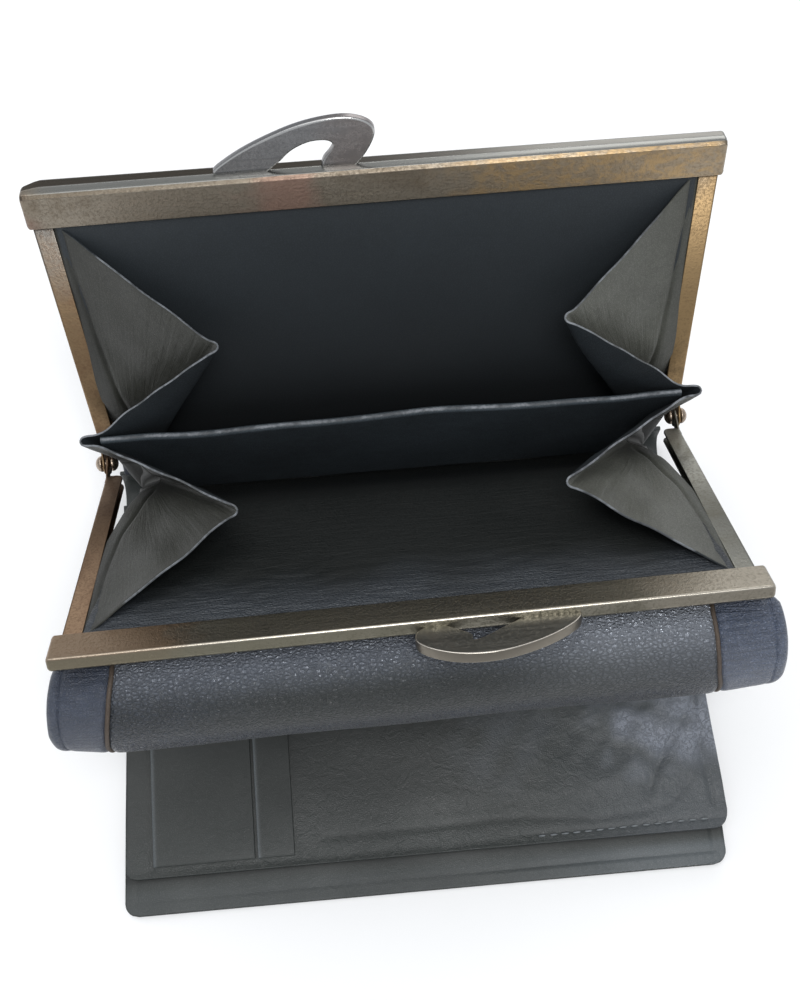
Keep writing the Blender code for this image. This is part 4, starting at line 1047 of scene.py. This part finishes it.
def pull_in(grid, middle):
    """The roll drawn back from its fullest line, a little less at the right, and more at its open ends,
    most at the left one: y moves back and z up by the share of the way out from the oval's middle,
    times the local amount."""
    x = grid[..., 0]
    end = np.where(x < 0, 0.0019, 0.0008) * smooth_step(np.abs(x), 0.045, 0.055)
    amount = 0.0013 - 0.0003 * smooth_step(x, 0.015, 0.05) + end
    share = np.clip((middle[0] - grid[..., 1]) / OVAL_DEEP, 0, 1)
    low = smooth_step(middle[1] - grid[..., 2], -0.006, 0.009)
    grid = grid.copy()
    grid[..., 1] += amount * share * (0.35 + 0.65 * low)
    grid[..., 2] += amount * low * share * 0.8
    return grid


# Half widths in millimetres, left and right, at shares of the way from the bar's lip to the spine.
SEAM_PLACES = (0, 0.115, 0.165, 0.21, 0.245, 0.3, 0.42, 1)
SEAMS = ((44.2, 44.4, 45.2, 46.1, 46.7, 46.8, 46.4, 46), (44.9, 44.1, 44.3, 44.7, 45.4, 45.8, 46, 46))
EDGE_PLACES = (0, 0.06, 0.1, 0.165, 0.21, 0.245, 0.29, 0.345, 0.42, 0.6, 1)
EDGES = ((51.9, 52.1, 53.0, 53.8, 54.3, 54.2, 53.5, 52.4, 50.3, 47.6, 47.5),
         (52.0, 52.1, 54.2, 54.6, 54.7, 54.8, 54.2, 53, 50.5, 47.6, 47.5))
PANEL_BEND = (0, 0.012, 0.021), (0, -0.0145, 0.0395)
LIP_Y = -0.0064


def make_front_panel():
    """The bowed outer panel, and from the bar's lip down its two wings outside the seams.

    Along each seam both leathers turn down by 0.45 mm * (1 - d / 0.9 mm)^2, d being the distance from it.
    """
    path, middle = panel_path()
    run = np.linspace(0, 1, len(path))
    first = int(np.argmax(path[:, 0] < LIP_Y))
    share = np.linspace(0, 1, len(path) - first)
    seams = [np.interp(share, SEAM_PLACES, mm(widths)) for widths in SEAMS]
    edges = [np.interp(share, EDGE_PLACES, mm(widths)) for widths in EDGES]
    left, right = (np.concatenate([np.full(first, seam[0]), seam]) - 0.00035 for seam in seams)
    grid = across(path, -left, right, close_to_ends(90, 0.02))
    loose = smooth_step(run, 0.06, 0.14)[:, None] * (1 - smooth_step(run, 0.9, 1.0))[:, None]
    beside = np.minimum(grid[..., 0] + left[:, None], right[:, None] - grid[..., 0])
    shoulder = 0.00045 * turned_down(beside, 0.0009)
    grid = push(pull_in(grid, middle), ripples(grid, 21, 0.03, 0.00014) * loose + shoulder)
    x = grid[..., 0]
    # Painted light on the roll: shade on its lower part, less towards its ends, and a highlight on its
    # upper part, more at the right.
    dark, pale, painted_sheen = (np.concatenate([np.zeros(first), values])[:, None] for values in (
        0.9 * smooth_step(share, 0.1, 0.175) * (1 - 0.55 * smooth_step(share, 0.215, 0.25)),
        0.66 * (1 - smooth_step(share, 0.09, 0.18)), 0.5 * (1 - smooth_step(share, 0.11, 0.25))))
    marks = {"dark": dark * (1 - 0.45 * smooth_step(np.abs(x - 0.002), 0.022, 0.046)),
             "pale": pale + painted_sheen * smooth_step(x, 0.008, 0.03)}
    piece = sheet_piece("front_panel", askew(grid), 0.0008, material("roll"), marks)
    bend(piece, "purse", "front_frame", *PANEL_BEND, "leather_navy",
         "front_panel_lower", "front_panel_upper")
    for hand, label, seam, edge in zip((-1, 1), ("left", "right"), seams, edges):
        make_wing(hand, label, path[first:], middle, seam, edge)


def make_wing(hand, label, path, middle, seam, edge):
    """A side piece of the front panel from its seam to its outer edge, and the welt in the seam."""
    wing = across(path, hand * (seam + 0.0004), hand * edge, close_to_ends(30, 0.12))[:, ::hand]
    inside = np.abs(wing[..., 0]) - seam[:, None] - 0.0004
    outside = edge[:, None] - np.abs(wing[..., 0])
    shape = 0.0004 * turned_down(inside, 0.0009) + 0.00022 * ridge(outside - 0.0014, 0.0003)
    shape = shape + 0.0005 * turned_down(outside, 0.0007)
    wing = push(pull_in(wing, middle), ripples(wing, 31 + hand, 0.008, 0.00012) + shape)
    piece = sheet_piece("front_wing_" + label, askew(wing), 0.0007, material("wing_" + label))
    bend(piece, "purse", "front_frame", *PANEL_BEND, "leather_navy",
         "front_wing_lower_" + label, "front_wing_upper_" + label)
    welt = askew(pull_in(across(path, hand * seam, hand * seam, 1), middle))[:, 0]
    piece = swept_piece("seam_welt_" + label, tube(welt, 0.00036), material("welt"))
    bend(piece, "purse", "front_frame", *PANEL_BEND, "leather_brown",
         "seam_welt_lower_" + label, "seam_welt_upper_" + label)


# the billfold

def make_spine():
    """The bend of the cover round the fold: a quarter turn with a short straight at each end."""
    turn = np.radians(np.linspace(-90, 0, 28))
    bow = SPINE + SPINE_BEND * np.stack([np.cos(turn), np.sin(turn)], 1)
    path = np.concatenate([mm([[35.6, 0.45], [36.6, 0.45]]), bow, mm([[41.45, 5.2], [41.45, 6.9]])])
    grid = across(resample(path, 44), -0.0536, 0.0536, 80)
    grid = push(grid, ripples(grid, 51, 0.01, 0.00006))
    piece = sheet_piece("spine_bend", grid, 0.0009, material("billfold"))
    bend(piece, "billfold", "purse", (0, 0.0372, 0.0004), (0, 0.0415, 0.0048), "leather_navy",
         "spine_leather")


def flat_sheet(left, right, front, back, columns, rows, radius):
    """A flat sheet with round corners at its free edge, as (x, y) grids: near the edge each row is
    drawn in by r - sqrt(r^2 - (r - d)^2), d being the distance from the edge."""
    places = np.concatenate([np.linspace(0, radius, 9)[:-1], np.linspace(radius, back - front, rows)])
    y = front + places
    drawn = radius - np.sqrt(np.maximum(radius**2 - (radius - places).clip(0, None) ** 2, 0))
    low, high = left(y) + drawn, right(y) - drawn
    x = low[:, None] + (high - low)[:, None] * close_to_ends(columns, 0.02, 7)
    return x, np.broadcast_to(y[:, None], x.shape)


def side_line(*points):
    """x of a side edge as a function of y, through the given (y, x) in millimetres."""
    y, x = mm(points).T
    return lambda value: np.interp(value, y, x)


# Places of y, and the lines pressed or sewn in the note panel as (x, y) in millimetres.
PANEL_EDGE, COVER_EDGE, BILLFOLD_BACK = -0.0356, -0.0419, 0.0362
SWELL = mm([[-18.4, -31.0], [17.5, -30.6], [32.4, -32.0], [40.4, -31.4], [45.3, -30.4], [48.5, -27.8],
            [51.8, -23.0], [52.2, -10]])
RIGHT_SEAM = mm([[52.6, 36], [52.6, -12], [52.4, -22], [53.2, -31]])
LEFT_SEAM = mm([[-49.6, 36], [-49.8, -20], [-50.0, -34.2]])
PRESSED = mm([[51.5, -13], [46, -20], [42.5, -26], [41, -30]])


def flat_piece(name, x, y, z, thickness, finish, marks, *nodes):
    """A sheet of the billfold from its x, y and z grids, standing for the CAD nodes."""
    piece = sheet_piece(name, np.stack([x, y, z], -1), thickness, material(finish), marks)
    settle(piece, "billfold", "leather_slate", *nodes)


def make_cover():
    """The flat cover, and its hem turned in: a sheet with pleats and a sewn line beside its edge."""
    left = side_line((-42, -55.4), (-25, -55.0), (-12, -54.6), (36.5, -54.0))
    right = side_line((-42, 54.3), (-34.9, 54.5), (36.5, 54.3))
    x, y = flat_sheet(left, right, COVER_EDGE, 0.0361, 110, 90, 0.0025)
    flat_piece("billfold_cover", x, y, np.full_like(x, 0.00045), 0.0009, "billfold", None, "cover_leather")
    step = 0.0002
    x, y = flat_sheet(lambda v: left(v) + step, lambda v: right(v) - step, COVER_EDGE + step, 0.036,
                      220, 150, 0.0023)
    z = np.full_like(x, 0.00133)
    from_edge = np.minimum(y - COVER_EDGE - step, np.minimum(x - left(y), right(y) - x))
    pleats = np.sin(x * 2 * pi / 0.0013 + np.sin(x * 700) * 1.2) * smooth_step(x, 0.0, 0.045)
    z += 0.00009 * pleats * ridge(from_edge - 0.0012, 0.0009)
    z -= 0.00022 * ridge(from_edge - 0.0022, 0.0003) * (0.25 + 0.75 * smooth_step(x, 0.0, 0.03))
    z += ripples(np.stack([x, y, z], -1), 41, 0.012, 0.00008)
    # Painted light on the hem: pale is a sheen, stronger to the right, in front of the note panel's edge,
    # and dark a shadow along that edge.
    pale = (0.14 + 0.6 * smooth_step(x, 0.01, 0.045)) * smooth_step(PANEL_EDGE - y, 0.001, 0.003)
    marks = {"dark": 0.8 * ridge(np.maximum(PANEL_EDGE - y, 0), 0.0007), "pale": pale}
    flat_piece("billfold_hem", x, y, z, 0.0006, "billfold", marks, "cover_hem", "cover_lining")


def make_note_panel():
    """The note panel: flat, with ridges round drawn lines, a swelling behind its front line and
    crinkles that are the absolute value of a sum of sines, strongest at the right, where a painted
    sheen makes it palest; painted shadow lies on its back part."""
    left = side_line((-36, -54.9), (-25, -54.5), (-12, -54.2), (36.5, -53.8))
    right = side_line((-36, 54.9), (-32.4, 55.5), (-21.6, 55.3), (-12.6, 55.0), (36.5, 54.4))
    x, y = flat_sheet(left, right, PANEL_EDGE, BILLFOLD_BACK, 210, 140, 0.0022)
    spot = np.stack([x, y], -1)
    z = np.full_like(x, 0.00225)
    swell = line_distance(spot, SWELL)
    z -= 0.00013 * ridge(swell, 0.0008)
    inside = smooth_step(y, -0.032, -0.026) * smooth_step(x, -0.02, 0.0)
    inside *= 1 - smooth_step(x, 0.046, 0.052)
    z += 0.00018 * inside * smooth_step(swell, 0.0003, 0.006)
    z -= 0.0003 * ridge(line_distance(spot, RIGHT_SEAM), 0.00045)
    z -= 0.0002 * ridge(line_distance(spot, LEFT_SEAM), 0.0004)
    z -= 0.00016 * ridge(y - PANEL_EDGE - 0.0018, 0.0004) * smooth_step(x, 0.01, 0.03)
    z += 0.00022 * turned_down(y - PANEL_EDGE, 0.0016)
    crinkled = smooth_step(x, 0.012, 0.036) * smooth_step(y, -0.034, -0.024)
    large, middling, small = (ripples(np.stack([x, y * 0.8, z], -1), seed, size, 1.0)
                              for seed, size in ((61, 0.016), (62, 0.008), (63, 0.0042)))
    z += crinkled * (0.0002 * (1 - np.abs(large) * 2) + 0.00008 * (0.5 - np.abs(middling) * 2)
                     + 0.00005 * (0.5 - np.abs(small) * 2))
    z -= 0.0004 * ridge(line_distance(spot, PRESSED), 0.0012) * smooth_step(y, -0.031, -0.027)
    z += ripples(np.stack([x, y, z], -1), 43, 0.02, 0.00008)
    # Painted light: lit is a painted sheen, strongest at the right, and shade a painted shadow on the back
    # part and along the swell.
    lit = smooth_step(x + 0.2 * y + 0.0035 * middling, 0.026, 0.039) * smooth_step(y, -0.03, -0.018)
    lit = lit * (0.7 + 0.4 * middling + 0.25 * small).clip(0, 1)
    lit = np.maximum(lit, 0.2 * smooth_step(x, 0.015, 0.05))
    centre = np.hypot((x - 0.018) / 0.016, (y + 0.017) / 0.012)
    lit = np.maximum(lit, 0.14 * (1 - smooth_step(centre, 0.3, 1.0)) * (0.6 + 0.6 * middling).clip(0, 1))
    shade = 0.45 * smooth_step(y, -0.034, -0.02) * (1 - smooth_step(x, 0.0, 0.03))
    shade = np.maximum(shade, 0.2 * ridge(swell, 0.0005) * smooth_step(x, -0.02, 0.01))
    flat_piece("billfold_panel", x, y, np.maximum(z, 0.0019), 0.0006, "crinkled",
               {"pale": lit, "dark": shade}, "note_panel")


def make_card_slot():
    """The card pocket's leather and the strip beside it, turned down at their front ends, with a painted
    highlight where they meet and painted shadow towards the back."""
    front = -0.0337
    for name, low, high, height, node in (("card_slot_leather", -0.0497, -0.0312, 0.0030, "card_pocket"),
                                          ("card_slot_strip", -0.0307, -0.0240, 0.0029, "card_strip")):
        x, y = np.meshgrid(low + (high - low) * close_to_ends(30, 0.08, 5),
                           np.linspace(front, BILLFOLD_BACK, 90))
        z = height - 0.00012 * np.clip(1 - (y - front) / 0.001, 0, 1)
        z += ripples(np.stack([x, y, z], -1), 45, 0.012, 0.00006)
        # Painted highlight along the slot's edge, and painted shadow towards the back.
        slot = ridge(x - low - 0.0001, 0.0004) * smooth_step(-y, -0.01, 0.012) * 0.7
        marks = {"pale": slot, "dark": 0.35 * smooth_step(y, -0.034, -0.02) * (1 - slot)}
        flat_piece(name, x, y, z, 0.0005, "billfold", marks, node)


def make_stitches():
    """Rows of thread along the right part of the note panel's free edge and of the cover's hem."""
    x = np.linspace(0.02, 0.052, 60)
    panel_y = PANEL_EDGE + 0.0014 + 0.0004 * smooth_step(x, 0.02, 0.05)
    hem_y = COVER_EDGE + 0.0015
    for name, y, height, length, radius in (("panel_stitches", panel_y, 0.0027, 0.0014, 0.0002),
                                            ("hem_stitches", hem_y, 0.00145, 0.0012, 0.00013)):
        line = np.stack(np.broadcast_arrays(x, y, height), 1)
        piece = stitch_piece(name, line, 0.0021, length, radius, material("thread"))
        settle(piece, "billfold", "leather_slate")


# stage

# Name, place, aim, size and the property that holds the power.
LAMPS = (("key_lamp", (0.06, -0.2, 0.86), (0, 0, 0.03), 0.3, "key_power"),
         ("back_lamp", (0.42, 1.15, 0.34), (0.02, 0.03, 0.06), 0.6, "back_power"),
         ("top_lamp", (-0.3, 0.5, 1.1), (0, 0.05, 0.05), 0.9, "top_power"))
WORLD_COLOR = (0.93, 0.96, 1, 1)
CAMERA_PLACE, CAMERA_TURN = mm([-4.72, -49.7, 247.0]), (0.325, 0.0064, -0.0873)
LENS, SENSOR, NEAREST = 46.8, 36.0, 0.01


def area_lamp(name, place, aim, size, power):
    """A square lamp at a place that shines towards another."""
    data = bpy.data.lights.new(name, "AREA")
    data.energy, data.size = power, size
    lamp = bpy.data.objects.new(name, data)
    bpy.context.scene.collection.objects.link(lamp)
    lamp.location = place
    x, y, z = np.array(aim) - np.array(place)
    lamp.rotation_euler = (atan2(np.hypot(x, y), -z), 0, atan2(-x, y))


def make_stage():
    """A pale floor, soft lamps, an even world and the camera at the photograph's angle."""
    scene, light = bpy.context.scene, bpy.context.scene.wallet_stage
    scene.view_settings.view_transform = "Standard"
    corners = np.array([[-3, -3, -0.0001], [3, -3, -0.0001], [3, 3, -0.0001], [-3, 3, -0.0001]])
    floor = mesh_piece("floor", corners, [[0, 1, 2, 3]])
    paint = Finish("floor_paint", Base_Color=light.floor_color, Roughness=0.9, Specular_IOR_Level=0.1)
    floor.data.materials.append(paint.material)
    for name, place, aim, size, power in LAMPS:
        area_lamp(name, place, aim, size, getattr(light, power))
    world = bpy.data.worlds.new("studio")
    scene.world = world
    world.use_nodes = True
    background = world.node_tree.nodes["Background"].inputs
    background["Color"].default_value = WORLD_COLOR
    background["Strength"].default_value = light.world_strength
    data = bpy.data.cameras.new("camera")
    data.lens, data.sensor_width, data.clip_start = LENS, SENSOR, NEAREST
    camera = bpy.data.objects.new("camera", data)
    scene.collection.objects.link(camera)
    camera.location, camera.rotation_euler = CAMERA_PLACE, CAMERA_TURN
    scene.camera = camera


# the panel in the 3D view

def hue(name, description, default):
    """A property for a colour."""
    return FloatVectorProperty(name=name, description=description, subtype="COLOR", size=3, min=0.0,
                               max=1.0, default=default)


def power(name, description, default):
    """A property for a lamp's power, in watts."""
    return FloatProperty(name=name, description=description, default=default, min=0.0, unit="POWER")


class WalletLeather(bpy.types.PropertyGroup):
    """Colours and grain of the leathers"""
    panel_color: hue("Panel colour", "Grained outer leather of the purse", (0.029, 0.037, 0.057))
    lining_color: hue("Lining colour", "Linings and divider of the purse", (0.021, 0.027, 0.032))
    gusset_color: hue("Gusset colour", "Side walls of the purse", (0.036, 0.037, 0.031))
    billfold_color: hue("Billfold colour", "Flat panel of the wallet", (0.027, 0.032, 0.030))
    welt_color: hue("Welt colour", "Welts in the seams of the front panel", (0.085, 0.062, 0.045))
    rim_color: hue("Rim colour", "Worn free edges of the gussets and the divider", (0.20, 0.215, 0.235))
    grain: FloatProperty(name="Grain size", description="Distance between the outer leather's pebbles",
                         default=0.00066, min=0.0004, max=0.003, precision=5, unit="LENGTH")


class WalletMetal(bpy.types.PropertyGroup):
    """Colours of the frame's plating"""
    bar_color: hue("Bar colour", "Plating of the bars", (0.30, 0.265, 0.215))
    finger_color: hue("Finger colour", "Plating of the clasp fingers", (0.21, 0.21, 0.215))
    rivet_color: hue("Rivet colour", "Plating of the rivets", (0.42, 0.34, 0.27))
    tarnish_color: hue("Tarnish colour", "Darker patches of the plating", (0.13, 0.10, 0.068))
    gold_color: hue("Worn gold colour", "Brass where the plating is worn", (0.46, 0.315, 0.16))


class WalletStage(bpy.types.PropertyGroup):
    """Floor and light"""
    floor_color: hue("Floor colour", "Paint of the floor", (0.97, 0.97, 0.97))
    key_power: power("Key lamp", "Power of the lamp in front", 3.4)
    back_power: power("Back lamp", "Power of the lamp behind", 2.2)
    top_power: power("Top lamp", "Power of the wide lamp above", 3.6)
    world_strength: FloatProperty(name="World strength", description="Strength of the even light",
                                  default=0.6, min=0.0, max=2.0)


class WALLET_OT_stage(bpy.types.Operator):
    """Floor, lamps, world and camera"""
    bl_idname = "wallet.stage"
    bl_label = "Stage"

    def execute(self, context):
        make_stage()
        return {"FINISHED"}


class WALLET_OT_frame(bpy.types.Operator):
    """Bars, arms and rivets of the metal frame"""
    bl_idname = "wallet.frame"
    bl_label = "Metal frame"

    def execute(self, context):
        make_bars()
        make_arms()
        make_rivets()
        return {"FINISHED"}


class WALLET_OT_fingers(bpy.types.Operator):
    """The two hooked fingers of the kiss-lock"""
    bl_idname = "wallet.fingers"
    bl_label = "Clasp fingers"

    def execute(self, context):
        make_fingers()
        return {"FINISHED"}


class WALLET_OT_linings(bpy.types.Operator):
    """Rear wall, linings and divider of the purse"""
    bl_idname = "wallet.linings"
    bl_label = "Wall, linings and divider"

    def execute(self, context):
        make_rear()
        make_front_lining()
        make_divider()
        return {"FINISHED"}


class WALLET_OT_gussets(bpy.types.Operator):
    """Folded side walls of the purse"""
    bl_idname = "wallet.gussets"
    bl_label = "Gussets"

    def execute(self, context):
        make_gusset("left", -1)
        make_gusset("right", 1)
        return {"FINISHED"}


class WALLET_OT_front(bpy.types.Operator):
    """Bowed front panel, wings and welts"""
    bl_idname = "wallet.front"
    bl_label = "Front panel"

    def execute(self, context):
        make_front_panel()
        return {"FINISHED"}


class WALLET_OT_billfold(bpy.types.Operator):
    """Cover, panel, card slot and spine of the billfold"""
    bl_idname = "wallet.billfold"
    bl_label = "Billfold"

    def execute(self, context):
        make_spine()
        make_cover()
        make_note_panel()
        make_card_slot()
        return {"FINISHED"}


class WALLET_OT_stitches(bpy.types.Operator):
    """Rows of stitches on the billfold"""
    bl_idname = "wallet.stitches"
    bl_label = "Stitches"

    def execute(self, context):
        make_stitches()
        return {"FINISHED"}


OPERATORS = (WALLET_OT_stage, WALLET_OT_frame, WALLET_OT_fingers, WALLET_OT_linings, WALLET_OT_gussets,
             WALLET_OT_front, WALLET_OT_billfold, WALLET_OT_stitches)


class WALLET_PT_pieces(bpy.types.Panel):
    """Colours, sizes and pieces of the wallet"""
    bl_idname = "WALLET_PT_pieces"
    bl_label = "Wallet"
    bl_space_type = "VIEW_3D"
    bl_region_type = "UI"
    bl_category = "Wallet"

    def draw(self, context):
        for group in (context.scene.wallet_leather, context.scene.wallet_metal, context.scene.wallet_stage):
            for key in group.bl_rna.properties.keys():
                if key not in ("rna_type", "name"):
                    self.layout.prop(group, key)
        for operator in OPERATORS:
            self.layout.operator(operator.bl_idname)


CLASSES = (WalletLeather, WalletMetal, WalletStage, *OPERATORS, WALLET_PT_pieces)


def register():
    for entry in CLASSES:
        bpy.utils.register_class(entry)
    bpy.types.Scene.wallet_leather = PointerProperty(type=WalletLeather)
    bpy.types.Scene.wallet_metal = PointerProperty(type=WalletMetal)
    bpy.types.Scene.wallet_stage = PointerProperty(type=WalletStage)


def unregister():
    del bpy.types.Scene.wallet_stage, bpy.types.Scene.wallet_metal, bpy.types.Scene.wallet_leather
    for entry in reversed(CLASSES):
        bpy.utils.unregister_class(entry)


def main():
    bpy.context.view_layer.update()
    register()
    bpy.ops.wallet.stage()
    bpy.ops.wallet.frame()
    bpy.ops.wallet.fingers()
    bpy.ops.wallet.linings()
    bpy.ops.wallet.gussets()
    bpy.ops.wallet.front()
    bpy.ops.wallet.billfold()
    bpy.ops.wallet.stitches()


if __name__ == "__main__":
    main()
